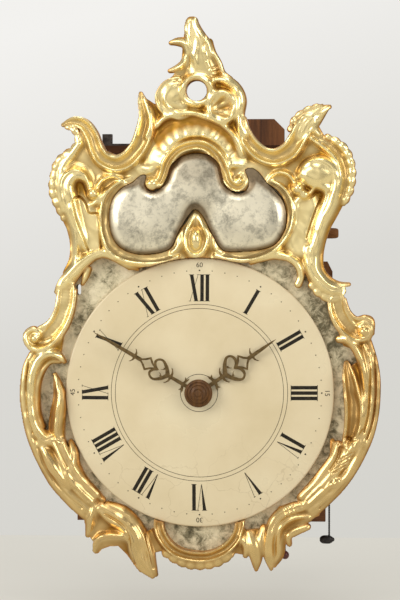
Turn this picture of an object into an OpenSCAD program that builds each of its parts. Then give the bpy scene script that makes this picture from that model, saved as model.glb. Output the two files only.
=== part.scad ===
// Musical wall clock with a carved and gilded front and a wooden movement case behind it.
// The origin is the middle of the hanging hole. +Y points to the wall, +Z up, and the dial faces -Y.
// Heights called z and all points of the carving are measured from the middle of the dial.

/* [Dial] */
// Radius of the dial
dial_r = 125.5; // [118:0.5:130]
// Thickness of the dial at its edge
dial_edge_t = 5; // [3:0.5:8]
// Rise of the dial's dome
dial_rise = 7; // [3:0.5:9]
// Radius of the hole in the middle of the dial
dial_hole_r = 6; // [5.5:0.1:8]
// Gap between the dial and the carving round it
dial_gap = 0.4; // [0.2:0.1:1]
// Number of minute pips round the dial
pips = 12; // [4:1:12]

/* [Hands] */
// Length of the minute hand
minute_len = 114; // [100:1:118]
// Length of the hour hand
hour_len = 88; // [75:1:95]
// Thickness of a hand
hand_t = 1.4; // [1:0.1:2]
// Gap between the dial's top and the hour hand
hour_hand_lift = 1.5; // [1:0.1:4]
// Gap between the two hands
hand_gap = 3; // [1:0.1:5]
// Direction of the minute hand in degrees from 12
minute_angle = -60; // [-180:1:180]
// Direction of the hour hand in degrees from 12
hour_angle = 55; // [-180:1:180]
// Radius of the turned boss on the hands
boss_r = 13; // [9:0.5:15]
// Height of the turned boss
boss_h = 6; // [4:0.5:8]

/* [Carved front] */
// Thickness of the shield board
shield_t = 14; // [10:1:20]
// Thickness of the ground under the carved ribs
ground_t = 6; // [4:0.5:8]
// Height of the silver cushion over the dial
cushion_h = 15; // [10:1:18]
// Gap between the silver cushion and its carved rim
cushion_gap = 0.3; // [0.2:0.1:0.6]
// Width of the slit hole in the shield board
slit_w = 4.5; // [3:0.5:6]
// Height of the slit hole in the shield board
slit_h = 10; // [8:0.5:14]
// Radius of the round opening in the crest
crest_hole_r = 9.5; // [7:0.5:10.5]

/* [Case] */
// Thickness of the back board
back_t = 12; // [10:1:16]
// Half width of the back board's lower part
back_half_w = 121; // [115:1:130]
// Half width of the back board's upper part
back_top_half_w = 73; // [60:1:80]
// Height of the back board's shoulders
shoulder_z = 122; // [100:1:140]
// Height of the back board's top
back_top_z = 264; // [258:1:268]
// Cut corner of the back board's top
back_chamfer = 10; // [4:1:14]
// Distance from the hanging hole to the back board's top
hole_drop = 18; // [14:1:24]
// Radius of the hanging hole
hole_r = 5; // [3:0.5:7]
// Half width of the case
case_half_w = 104; // [102:1:112]
// Depth of the case between the back board and the battens
case_d = 132; // [130:1:140]
// Thickness of the case's top and bottom boards
board_t = 10; // [8:1:12]
// Height of the case's top
case_top_z = 232; // [230:1:240]
// Height of the case's underside
case_bottom_z = -118; // [-124:1:-114]
// Side of a corner post
post_side = 14; // [10:1:16]
// Thickness of a side door
door_t = 5.4; // [4:0.2:6]
// Gap round a closed door
door_gap = 0.5; // [0.3:0.1:0.8]
// Radius of the door's wire pins
door_pin_r = 1.5; // [1:0.1:2]
// Length of a door's wire pin
door_pin_len = 8; // [5:0.5:8]
// Radius of the door knob
knob_r = 5; // [4:0.5:6]
// Length of the door knob outside the door
knob_len = 26; // [20:1:30]
// Height of the door knob
knob_z = 149; // [120:1:160]
// Thickness of the battens that carry the shield board
batten_t = 14; // [14:0.5:16]
// Half length of a batten
batten_half_len = 117; // [110:1:120]
// Height of a batten's face
batten_h = 22; // [18:1:30]

/* [Movement frame] */
// Thickness of the movement plates
plate_t = 8; // [6:0.5:9]
// Half width of the movement plates
plate_half_w = 48; // [48:1:52]
// Clear space between two movement plates
plate_space = 36; // [36:0.5:38]
// Thickness of the deck under the music work
deck_t = 8; // [6:1:10]
// Height of the deck's underside
deck_z = 130; // [130:1:132]
// Thickness of a cheek of the music work
cheek_t = 5; // [4:0.5:6]
// Clearance of a turning shaft in its hole
run_fit = 0.05; // [0.02:0.01:0.08]
// Radius of a wheel's arbor
arbor_r = 1.6; // [1.4:0.1:1.7]
// Radius of a pivot
pivot_r = 1; // [0.8:0.1:1.2]

/* [Wheels] */
// Tooth size of the two great wheels
great_module = 1.2; // [1.2:0.01:1.22]
// Tooth size of the other train wheels
train_module = 1; // [0.98:0.01:1.02]
// Tooth size of the minute pair behind the dial
motion_module = 0.9; // [0.88:0.01:0.92]
// Thickness of a train wheel
wheel_t = 2; // [1.5:0.1:2.4]
// Radius of a cord drum
drum_r = 18; // [14:0.5:20]
// Radius of the escape wheel
escape_r = 22; // [20:0.5:22.5]
// Clearance between the escape wheel and the pallets
pallet_gap = 1.9; // [1.8:0.1:3]

/* [Pendulum and strike] */
// Length of the pendulum to the middle of its bob
pendulum_len = 128; // [116:1:130]
// Radius of the pendulum bob
bob_r = 18; // [12:0.5:19]
// Thickness of the pendulum bob
bob_t = 7; // [5:0.5:8]
// Radius of the hour bell
hour_bell_r = 28; // [24:0.5:28]
// Depth of the hour bell
hour_bell_d = 22; // [16:0.5:24]
// Wall of the bells
bell_wall = 1.6; // [1.2:0.1:2]

/* [Music work] */
// Radius of the pinned barrel
barrel_r = 17; // [14:0.5:17]
// Height of the barrel's pins
barrel_pin_h = 1.6; // [1:0.1:2]
// Number of rows of pins along the barrel, one for each hammer
tunes = 4; // [4:1:4]
// Distance between two music bells
bell_pitch = 27; // [26:0.5:28]
// Radius of the largest music bell
music_bell_r = 17; // [14:0.5:17]
// Room between the largest music bell and the top board
bell_room = 11; // [8:0.5:12]
// Difference in radius from one music bell to the next
bell_step = 1.2; // [0.5:0.1:2]
// Radius of a hammer head
hammer_head_r = 3; // [2:0.5:4]

/* [Pull cords] */
// Diameter of a pull cord
cord_d = 1.8; // [1.4:0.1:2.2]
// Length of the iron toggle
toggle_len = 14; // [10:0.5:18]
// Radius of the iron toggle
toggle_r = 4; // [3:0.1:5]
// Radius of the turned ball
ball_r = 4; // [3:0.1:5]
// Distance from the repeat lever's pivot to its cord
repeat_arm = 78.5; // [76:0.5:80]
// Distance from the release lever's pivot to its cord
release_arm = 36; // [34:0.5:38]

/* [Hidden] */
$fn = 48;

// Planes along Y, from the wall to the front
wall_y = back_t / 2;
back_front = -back_t / 2;
case_front = back_front - case_d;
shield_back = case_front - batten_t;
face_y = shield_back - shield_t;
dial_z = hole_drop - back_top_z;
front_plate_back = case_front + plate_t;
middle_front = front_plate_back + plate_space;
middle_back = middle_front + plate_t;
rear_front = middle_back + plate_space;
rear_back = rear_front + plate_t;
case_floor = case_bottom_z + board_t;
case_ceiling = case_top_z - board_t;
deck_top = deck_z + deck_t;
// Planes of the hands
dial_top_y = face_y - dial_edge_t - dial_rise;
hour_hand_y = dial_top_y - hour_hand_lift;
minute_hand_y = hour_hand_y - hand_t - hand_gap;
boss_y = minute_hand_y - hand_t;

// Train counts
great_teeth = 60;
centre_leaves = 10;
wheel_teeth = 72;
small_leaves = 6;
escape_teeth = 30;
pin_wheel_teeth = 64;
warning_leaves = 8;
warning_teeth = 48;
// Centre distances follow from the teeth
great_dist = great_module * (great_teeth + centre_leaves) / 2;
train_dist = train_module * (wheel_teeth + small_leaves) / 2;
pin_dist = train_module * (pin_wheel_teeth + warning_leaves) / 2;
fly_dist = train_module * (warning_teeth + small_leaves) / 2;
// Pairs behind the dial share one centre distance
minute_pinion_teeth = 12;
minute_wheel_teeth = 36;
hour_pinion_teeth = 10;
hour_wheel_teeth = 40;
motion_dist = motion_module * (minute_pinion_teeth + minute_wheel_teeth) / 2;
hour_module = 2 * motion_dist / (hour_pinion_teeth + hour_wheel_teeth);
// Directions from one arbor to the next, in degrees from straight up
third_dir = 18;
escape_dir = 35;
warning_dir = 20;
strike_fly_dir = -30;
function step_to(p, dir, d) = [p.x + d * sin(dir), p.y + d * cos(dir)];
centre_at = [0, 0];
great_at = [0, -great_dist];
third_at = step_to(centre_at, third_dir, train_dist);
escape_at = step_to(third_at, escape_dir, train_dist);
anchor_dist = escape_r * sqrt(2);
anchor_at = step_to(escape_at, 0, anchor_dist);
motion_at = [-motion_dist, 0];
strike_great_at = [-8, -56];
pin_wheel_at = step_to(strike_great_at, 0, great_dist);
warning_at = step_to(pin_wheel_at, warning_dir, pin_dist);
strike_fly_at = step_to(warning_at, strike_fly_dir, fly_dist);
hammer_at = [-42, 6];
bell_at = [8, 62];
// The lantern pinions: gap between their discs and thickness of a disc
lantern_gap = 5;
lantern_disc = 1.5;
// Middle planes of the wheels, measured from the plate in front of or behind them
great_y = front_plate_back + 6;
third_y = front_plate_back + 16;
centre_y = middle_front - 6;
escape_y = front_plate_back + 8;
strike_great_y = middle_back + 6;
pin_wheel_y = middle_back + 20;
warning_y = rear_front - 6;
// Music work: places of its arbors along Y and above the dial
music_top = case_ceiling;
barrel_y = back_front - 44;
barrel_z = 176;
second_dist = pin_dist;
second_y = barrel_y - second_dist * cos(20);
second_z = barrel_z - second_dist * sin(20);
music_fly_y = second_y - fly_dist * cos(30);
music_fly_z = second_z + fly_dist * sin(30);
left_cheek_x = -83;
middle_cheek_x = -56;
right_cheek_x = 70;
bell_rod_y = barrel_y - 64;
bell_rod_z = case_ceiling - music_bell_r - bell_room;
hammer_rod_y = barrel_y - 36;
hammer_rod_z = 158;
first_bell_x = middle_cheek_x + cheek_t + 16;
// Pull levers
repeat_at = [42, -60];
release_at = [42, -82];
repeat_y = case_front - 6;
release_y = front_plate_back + 12;
cord_r = cord_d / 2;
repeat_cord_len = 72;
release_cord_len = 68;
lever_t = 3;
eye_r = 1.6;
// Door pivots
door_x = case_half_w - 1.3 - door_t / 2;
door_y = back_front - 7;
post_x = door_x - door_t / 2 - 2.2 - post_side;

gold = "goldenrod";
silver = "lightgray";
brass = "darkgoldenrod";
iron = "dimgray";
wood = "saddlebrown";
pale_wood = "peru";

// The front: x right, y up from the dial's middle, z towards the viewer from plane y0
module on_front(y0) {
    translate([0, y0, dial_z]) rotate([90, 0, 0]) children();
}

// Puts children on an arbor whose middle plane is y0
module on_arbor(at, y0) {
    on_front(y0) translate([at.x, at.y, 0]) children();
}

// A board between two X, two Y and two heights above the dial
module board(x0, x1, y0, y1, z0, z1) {
    translate([x0, y0, dial_z + z0]) cube([x1 - x0, y1 - y0, z1 - z0]);
}

// Carved ribs: a smooth curve through [x, y, width, height] points
function clamp_at(p, i) = p[max(0, min(len(p) - 1, i))];
function smooth(a, b, c, d, t) = 0.5 * (2 * b + (c - a) * t + (2 * a - 5 * b + 4 * c - d) * t * t
    + (3 * b - a - 3 * c + d) * t * t * t);
function curve(p, n) = [for (i = [0 : len(p) - 2]) for (k = [0 : n - 1])
    smooth(clamp_at(p, i - 1), p[i], p[i + 1], clamp_at(p, i + 2), k / n), p[len(p) - 1]];
// Cross sections as [place across, height]
round_cut = [[-0.5, 0], [-0.4, 0.72], [0, 1], [0.4, 0.72], [0.5, 0]];
hollow_cut = [[-0.5, 0], [-0.4, 1], [0, 0.6], [0.4, 1], [0.5, 0]];

module rib(points, cut = round_cut, n = 2) {
    q = curve(points, n);
    last = len(q) - 1;
    k = len(cut);
    side = [for (i = [0 : last])
        let (a = q[max(0, i - 1)], b = q[min(last, i + 1)], d = [b.x - a.x, b.y - a.y])
        [-d.y, d.x] / max(0.001, norm(d))];
    verts = [for (i = [0 : last]) for (c = cut)
        [q[i].x + side[i].x * c.x * q[i][2], q[i].y + side[i].y * c.x * q[i][2], max(0, c.y * q[i][3])]];
    skin = [for (i = [0 : last - 1]) for (j = [0 : k - 1])
        let (a = i * k + j, b = i * k + (j + 1) % k) each [[a, b, b + k], [a, b + k, a + k]]];
    start_cap = [for (j = [1 : k - 2]) [0, j + 1, j]];
    end_cap = [for (j = [1 : k - 2]) [last * k, last * k + j, last * k + j + 1]];
    polyhedron(verts, concat(skin, start_cap, end_cap));
}

// A row of shell lobes: each runs from its root to its tip
module lobes(pairs, w, h) {
    for (p = pairs)
        hull() {
            translate([p[0], p[1], 0]) cylinder(r1 = w * 0.5, r2 = w * 0.25, h = h, $fn = 8);
            translate([p[2], p[3], 0]) cylinder(r1 = w * 0.5, r2 = w * 0.3, h = h * 0.7, $fn = 8);
        }
}

// A carved piece, kept to its own field, clear of the dial and of the silver cushion
module carved(field) {
    difference() {
        intersection() {
            linear_extrude(40) polygon(field);
            union() children();
        }
        translate([0, 0, -1]) cylinder(r = dial_r + dial_gap, h = 60, $fn = 96);
        translate([0, 0, -1]) linear_extrude(60) offset(delta = cushion_gap) polygon(cushion_line);
    }
}

// Outline of the shield board
shield_line = [[-58, 222], [-70, 216], [-96, 222], [-110, 236], [-120, 228], [-134, 212], [-136, 186],
    [-126, 160], [-116, 142], [-117, 118], [-126, 102], [-126, 84], [-134, 66], [-154, 56], [-160, 46],
    [-154, 34], [-163, 8], [-161, -20], [-153, -52], [-137, -84], [-116, -107], [-98, -124], [-84, -138],
    [-64, -142], [-52, -162], [-44, -162], [-41, -142], [-34, -145], [-18, -156], [0, -159], [18, -156],
    [34, -148], [44, -146], [53, -156], [60, -146], [66, -158], [72, -146], [80, -128], [98, -120],
    [118, -104], [138, -84], [154, -56], [162, -22], [163, 8], [157, 40], [156, 58], [146, 60], [132, 78],
    [130, 94], [114, 104], [109, 124], [116, 148], [132, 174], [141, 196], [140, 216], [126, 234],
    [106, 246], [92, 244], [84, 224], [66, 217], [54, 226], [38, 248], [30, 272], [-32, 272], [-46, 252]];

// Outline of the silver cushion
cushion_line = [[-3, 224], [10, 221], [18, 213], [21, 203], [24, 194], [31, 188], [42, 189], [52, 198],
    [60, 194], [70, 188], [78, 178], [82, 165], [80, 150], [72, 139], [58, 134], [42, 132], [26, 131],
    [19, 135], [10, 150], [3, 164], [-4, 170], [-10, 164], [-18, 152], [-27, 134], [-42, 130], [-60, 130],
    [-74, 136], [-82, 148], [-84, 166], [-82, 182], [-74, 191], [-60, 197], [-48, 190], [-38, 190],
    [-31, 198], [-29, 208], [-24, 217], [-14, 222]];

// Fields of the carved pieces
crest_field = [[-62, 370], [-62, 186], [58, 186], [58, 240], [60, 370]];
left_wing_field = [[-62, 280], [-62, 186], [-27, 186], [-27, 100], [-60, 93], [-150, 93], [-150, 280]];
right_wing_field = [[59, 280], [58, 240], [58, 186], [22, 186], [22, 100], [60, 84], [155, 84], [155, 280]];
left_border_field = [[-180, 93], [-60, 93], [-60, -50], [-90, -96], [-112, -128], [-180, -128]];
right_border_field = [[180, 84], [60, 84], [60, -50], [92, -96], [106, -128], [180, -128]];
apron_field = [[-112, -128], [-90, -96], [-60, -50], [60, -50], [92, -96], [106, -128], [106, -190],
    [-112, -190]];

module shield_board() {
    color(wood) on_front(shield_back) difference() {
        linear_extrude(shield_t) polygon(shield_line);
        translate([0, 0, -1]) cylinder(r = dial_hole_r + 2, h = shield_t + 2);
        translate([crest_hole_at.x, crest_hole_at.y, -1]) cylinder(r = crest_hole_r + 2, h = shield_t + 2);
        for (end = [-1, 1])
            translate([slit_at.x, slit_at.y + end * (slit_h - slit_w) / 2, -1])
                cylinder(r = slit_w / 2, h = shield_t + 2);
        translate([slit_at.x - slit_w / 2, slit_at.y - (slit_h - slit_w) / 2, -1])
            cube([slit_w, slit_h - slit_w, shield_t + 2]);
    }
}
slit_at = [-114, 96];
crest_hole_at = [-2.5, 281];

module crest_carving() {
    color(gold) on_front(face_y) carved(crest_field) {
        difference() {
            union() {
                // Ground of the shell crest and of the arch
                linear_extrude(ground_t) polygon([[-56, 276], [-52, 276], [-40, 268], [-36, 284],
                    [-25, 294],
                    [-17, 310], [-15, 330], [-10, 345], [-2, 346], [4, 334], [11, 326], [14, 314],
                    [19, 298],
                    [30, 292], [40, 282], [43, 268], [38, 252], [44, 234], [60, 222], [60, 204], [44, 208],
                    [-46, 208], [-62, 206], [-62, 226], [-56, 240]]);
                // Ring round the opening and the outer ring over it
                translate([crest_hole_at.x, crest_hole_at.y, 0])
                    cylinder(r1 = 17, r2 = 15, h = 13, $fn = 32);
                rib([[-21, 288, 4, 12], [-16, 297, 6, 15], [-5, 302, 7, 16], [8, 299, 7, 15],
                    [15, 289, 5, 12]]);
                // Spine and thorns of the flame
                rib([[-3, 347, 5, 8], [2, 335, 8, 13], [8, 326, 9, 15], [12, 314, 9, 16], [16, 303, 8, 15],
                    [21, 295, 7, 12]]);
                rib([[-9, 345, 5, 8], [-9, 333, 8, 13], [-7, 321, 9, 15], [-5, 308, 8, 14]]);
                rib([[-27, 325, 4, 7], [-19, 325, 7, 11], [-11, 322, 7, 13], [-9, 312, 6, 12]]);
                rib([[-28, 300, 4, 7], [-20, 301, 6, 11], [-15, 306, 6, 12], [-14, 316, 4, 10]]);
                // Rolled shell on the left and shell cup on the right
                rib([[-22, 293, 7, 11], [-31, 286, 9, 14], [-37, 275, 8, 15], [-34, 265, 7, 14],
                    [-24, 259, 6, 13], [-12, 260, 5, 11]], n = 2);
                rib([[-30, 284, 10, 15], [-27, 272, 12, 15], [-20, 266, 9, 12]]);
                rib([[18, 292, 7, 12], [29, 288, 9, 15], [37, 279, 9, 16], [40, 268, 8, 16],
                    [38, 256, 7, 15], [37, 246, 6, 13]]);
                translate([21, 265, 0]) cylinder(r1 = 15, r2 = 13.5, h = 13, $fn = 24);
                // Left and right horns that run down into the wings
                rib([[-54, 279, 4, 8], [-50, 268, 11, 12], [-47, 254, 16, 15], [-48, 241, 15, 16],
                    [-54, 228, 14, 16], [-66, 218, 13, 15]], hollow_cut);
                rib([[41, 258, 8, 14], [42, 245, 12, 15], [48, 232, 14, 16], [60, 222, 13, 15],
                    [70, 219, 13, 15]], hollow_cut);
                // Rim of the arch with its two volutes
                rib([[-43, 192, 7, 12], [-37, 196, 8, 15], [-33, 206, 8, 16], [-27, 218, 8, 17],
                    [-16, 227, 8, 18], [-3, 230, 8, 18], [10, 227, 8, 18], [19, 219, 8, 17],
                    [24, 206, 8, 16],
                    [27, 196, 8, 15], [34, 191, 7, 13], [42, 196, 6, 11], [42, 204, 5, 9]]);
                translate([-44, 197, 0]) cylinder(r1 = 6, r2 = 4.5, h = 16, $fn = 16);
                translate([37, 200, 0]) cylinder(r1 = 6, r2 = 4, h = 12, $fn = 16);
                // Fluted lobes round the arch
                lobes([for (a = [18 : 12 : 162]) [-3 + 37 * cos(a), 202 + 34 * sin(a),
                    -3 + 46 * cos(a), 202 + 50 * sin(a)]], 8, 13);
            }
            translate([crest_hole_at.x, crest_hole_at.y, -1]) cylinder(r = crest_hole_r, h = 40, $fn = 32);
            translate([21, 265, 6]) cylinder(r = 10.5, h = 20, $fn = 24);
        }
    }
}

module left_wing() {
    color(gold) on_front(face_y) carved(left_wing_field) {
        linear_extrude(ground_t) polygon([[-62, 226], [-78, 222], [-92, 228], [-98, 244], [-112, 252],
            [-112, 240], [-116, 228], [-130, 221], [-138, 204], [-138, 186], [-128, 160], [-119, 142],
            [-119, 122], [-130, 104], [-130, 94], [-118, 94], [-104, 106], [-96, 120], [-82, 122],
            [-68, 112], [-27, 122], [-27, 140], [-62, 140], [-62, 214]]);
        // Horn and valley band
        rib([[-127, 251, 5, 8], [-117, 252, 10, 12], [-107, 248, 14, 15], [-101, 238, 17, 17],
            [-97, 226, 15, 17], [-90, 215, 13, 16], [-78, 210, 13, 16], [-66, 215, 13, 15],
            [-56, 226, 14, 16]], hollow_cut);
        rib([[-128, 250, 4, 7], [-119, 246, 7, 10], [-113, 238, 8, 12], [-114, 229, 8, 13],
            [-122, 223, 8, 12],
            [-131, 216, 9, 12], [-136, 204, 9, 13], [-137, 190, 8, 13], [-132, 174, 8, 12],
            [-125, 159, 7, 12], [-120, 146, 7, 12], [-118, 132, 8, 12], [-119, 120, 9, 12],
            [-127, 109, 8, 10]]);
        // Outer arch and fluted column
        rib([[-113, 134, 9, 12], [-116, 150, 9, 14], [-123, 165, 10, 15], [-129, 180, 10, 16],
            [-130, 195, 10, 17], [-125, 206, 9, 17], [-115, 210, 9, 17], [-106, 205, 8, 16],
            [-101, 195, 7, 15], [-98, 185, 8, 16]]);
        rib([[-109, 134, 8, 11], [-111, 150, 11, 13], [-116, 165, 14, 15], [-119, 180, 16, 17],
            [-117, 193, 14, 15]]);
        // Small scroll and the rim round the cushion
        rib([[-99, 186, 7, 15], [-97, 195, 7, 14], [-90, 201, 8, 14], [-81, 203, 8, 14], [-73, 200, 6, 12],
            [-68, 205, 6, 11], [-62, 212, 8, 12]]);
        rib([[-66, 197, 5, 11], [-78, 194, 8, 14], [-86, 188, 8, 15], [-90, 178, 8, 15], [-91, 164, 8, 15],
            [-89, 150, 9, 15], [-85, 139, 10, 15], [-76, 131, 11, 15], [-64, 126, 10, 15],
            [-50, 125, 9, 14], [-38, 125, 8, 14], [-25, 126, 7, 13]]);
        translate([-100, 183, 0]) cylinder(r1 = 5, r2 = 3.5, h = 18, $fn = 12);
        // Rim arch over the corner and its leaf
        rib([[-133, 95, 5, 9], [-124, 103, 11, 13], [-115, 110, 12, 14], [-106, 119, 10, 13],
            [-98, 127, 9, 13], [-88, 130, 9, 13], [-78, 126, 8, 12], [-69, 117, 5, 9]]);
        // Scalloped outer edge
        lobes([for (p = [[-129, 220], [-133, 212], [-135, 203], [-136, 194], [-136, 185], [-133, 176],
            [-129, 168]]) [p.x, p.y, p.x - 3, p.y + 2]], 7, 10);
        lobes([for (p = [[-120, 253], [-112, 254], [-104, 249],
            [-98, 241]]) [p.x, p.y, p.x + 2, p.y + 2]], 7, 11);
    }
}

module right_wing() {
    color(gold) on_front(face_y) carved(right_wing_field) {
        linear_extrude(ground_t) polygon([[58, 222], [66, 222], [80, 226], [86, 238], [90, 252], [104, 264],
            [112, 262], [110, 250], [118, 234], [134, 226], [143, 208], [141, 190], [130, 170], [117, 150],
            [110, 132], [110, 114], [122, 100], [136, 98], [134, 88], [118, 86], [104, 98], [98, 116],
            [84, 126], [64, 124], [22, 122], [22, 132], [58, 140], [86, 150], [84, 186], [58, 200]]);
        // Valley band and scalloped horn
        rib([[50, 230, 13, 15], [60, 221, 13, 15], [72, 218, 13, 16], [84, 222, 14, 16], [91, 232, 15, 17],
            [95, 244, 18, 17], [101, 254, 18, 15], [109, 260, 14, 12], [117, 265, 8, 8]], hollow_cut);
        rib([[119, 263, 4, 7], [112, 257, 5, 10], [111, 248, 6, 12], [116, 239, 7, 13], [125, 234, 7, 13],
            [134, 226, 8, 13], [140, 214, 9, 13], [142, 202, 8, 13], [140, 190, 8, 13], [134, 177, 8, 12],
            [126, 165, 7, 12], [119, 153, 7, 12], [113, 140, 7, 12], [111, 128, 7, 12], [111, 116, 7, 12],
            [116, 106, 7, 12], [126, 100, 7, 11], [139, 101, 5, 8]]);
        // Outer arch, boss and column
        rib([[104, 132, 10, 12], [107, 148, 10, 14], [114, 162, 10, 15], [123, 174, 10, 16],
            [131, 187, 9, 17], [133, 201, 9, 17], [127, 213, 9, 17], [115, 219, 9, 17], [102, 215, 8, 16],
            [95, 206, 7, 15]]);
        rib([[112, 150, 8, 12], [118, 166, 10, 14], [124, 182, 10, 16], [124, 197, 9, 17],
            [117, 208, 9, 17]]);
        rib([[98, 203, 10, 17], [104, 206, 15, 20], [111, 206, 16, 21], [118, 203, 12, 19]]);
        rib([[101, 140, 9, 10], [104, 156, 10, 12], [108, 170, 11, 14], [112, 182, 11, 16],
            [113, 191, 8, 15]]);
        // Small scroll and the rim round the cushion
        rib([[92, 191, 7, 16], [89, 199, 8, 15], [81, 204, 8, 15], [71, 204, 7, 14], [64, 198, 6, 12],
            [58, 204, 6, 12]]);
        rib([[87, 183, 7, 14], [96, 184, 7, 14], [105, 187, 6, 13]]);
        rib([[62, 196, 5, 11], [74, 191, 7, 13], [83, 182, 8, 14], [87, 170, 8, 15], [87, 156, 8, 15],
            [83, 144, 9, 15], [73, 135, 9, 15], [59, 129, 8, 14], [44, 127, 8, 14], [30, 126, 7, 13],
            [20, 127, 5, 12]]);
        translate([92, 191, 0]) cylinder(r1 = 6, r2 = 4, h = 19, $fn = 12);
        // Rim arch over the corner
        rib([[48, 126, 5, 10], [60, 130, 7, 12], [74, 133, 8, 13], [87, 129, 8, 13], [96, 119, 8, 13],
            [98, 108, 8, 13], [94, 99, 7, 12]]);
        // Leaf down to the scalloped scroll
        rib([[105, 128, 12, 14], [105, 114, 13, 14], [110, 103, 12, 13], [120, 95, 10, 12],
            [134, 93, 9, 10]]);
        lobes([for (p = [[112, 92], [120, 90], [128, 90], [134, 92]]) [p.x, p.y, p.x, p.y - 3]], 8, 10);
        lobes([for (p = [[126, 235], [133, 229], [139, 221], [142, 212], [142, 203], [142, 194]])
            [p.x, p.y, p.x + 3, p.y]], 7, 10);
        lobes([for (p = [[88, 250], [92, 257], [99, 263], [108, 266],
            [116, 267]]) [p.x, p.y, p.x - 1, p.y + 2]],
            7, 10);
    }
}

module left_border() {
    color(gold) on_front(face_y) carved(left_border_field) {
        linear_extrude(ground_t) polygon([[-120, 93], [-130, 93], [-132, 80], [-138, 66], [-147, 59],
            [-160, 60], [-164, 50], [-157, 38], [-164, 18], [-165, -8], [-160, -38], [-150, -68],
            [-132, -94], [-112, -114], [-106, -120], [-94, -102], [-112, -84], [-124, -60], [-128, -40],
            [-129, -6], [-134, -6], [-140, -16], [-143, -36], [-152, -34], [-156, -16], [-154, 6],
            [-146, 20], [-132, 26], [-130, 36], [-126, 60], [-121, 78]]);
        // Hatched band down to the volute
        rib([[-126, 95, 14, 8], [-127, 80, 13, 8], [-132, 66, 12, 8], [-141, 54, 11, 9], [-150, 49, 8, 9]]);
        rib([[-120, 95, 5, 12], [-121, 80, 5, 12], [-126, 63, 5, 13], [-133, 50, 6, 14], [-142, 42, 6, 15],
            [-151, 41, 6, 15], [-158, 46, 5, 15], [-160, 53, 4, 14], [-154, 57, 4, 13], [-149, 52, 4, 12]]);
        rib([[-132, 94, 4, 11], [-133, 80, 4, 11], [-138, 68, 4, 12], [-147, 60, 5, 12], [-157, 61, 7, 11],
            [-163, 56, 7, 11], [-162, 46, 8, 12], [-155, 39, 8, 13]]);
        // Main band with its curled leaf, and the rim inside it
        rib([[-126, 30, 5, 10], [-134, 36, 7, 14], [-144, 35, 8, 16], [-152, 27, 9, 17], [-158, 14, 10, 17],
            [-160, -2, 10, 17], [-160, -18, 10, 17], [-157, -34, 11, 17], [-150, -50, 14, 16],
            [-141, -66, 15, 16], [-130, -80, 15, 15], [-118, -92, 14, 15], [-105, -104, 12, 14]]);
        rib([[-129, 28, 4, 9], [-139, 25, 6, 11], [-147, 17, 6, 12], [-152, 5, 6, 12], [-155, -10, 6, 12],
            [-154, -24, 6, 12], [-148, -36, 6, 11]]);
        rib([[-156, 38, 6, 12], [-161, 26, 6, 13], [-164, 11, 6, 13], [-165, -5, 6, 13], [-163, -21, 6, 13],
            [-160, -37, 6, 13], [-155, -52, 7, 13], [-147, -68, 8, 13], [-137, -84, 9, 13],
            [-125, -98, 10, 12], [-113, -110, 9, 11], [-104, -119, 7, 9]]);
        // Inner leaves
        rib([[-138, 17, 3, 9], [-133, 5, 7, 13], [-131, -10, 8, 15], [-131, -26, 8, 15], [-132, -42, 9, 14],
            [-128, -58, 9, 14], [-122, -72, 9, 13], [-112, -86, 8, 12]]);
        rib([[-118, -47, 3, 8], [-120, -58, 6, 11], [-120, -70, 7, 12], [-112, -82, 7, 12],
            [-103, -93, 7, 11], [-93, -102, 6, 10]]);
        // Small lobes along the leaf
        lobes([for (p = [[-158, -46], [-153, -58], [-146, -70], [-138, -82], [-128, -93], [-118, -103],
            [-162, -30], [-164, -14]]) [p.x, p.y, p.x + 5, p.y + 8]], 6, 14);
    }
}

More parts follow.
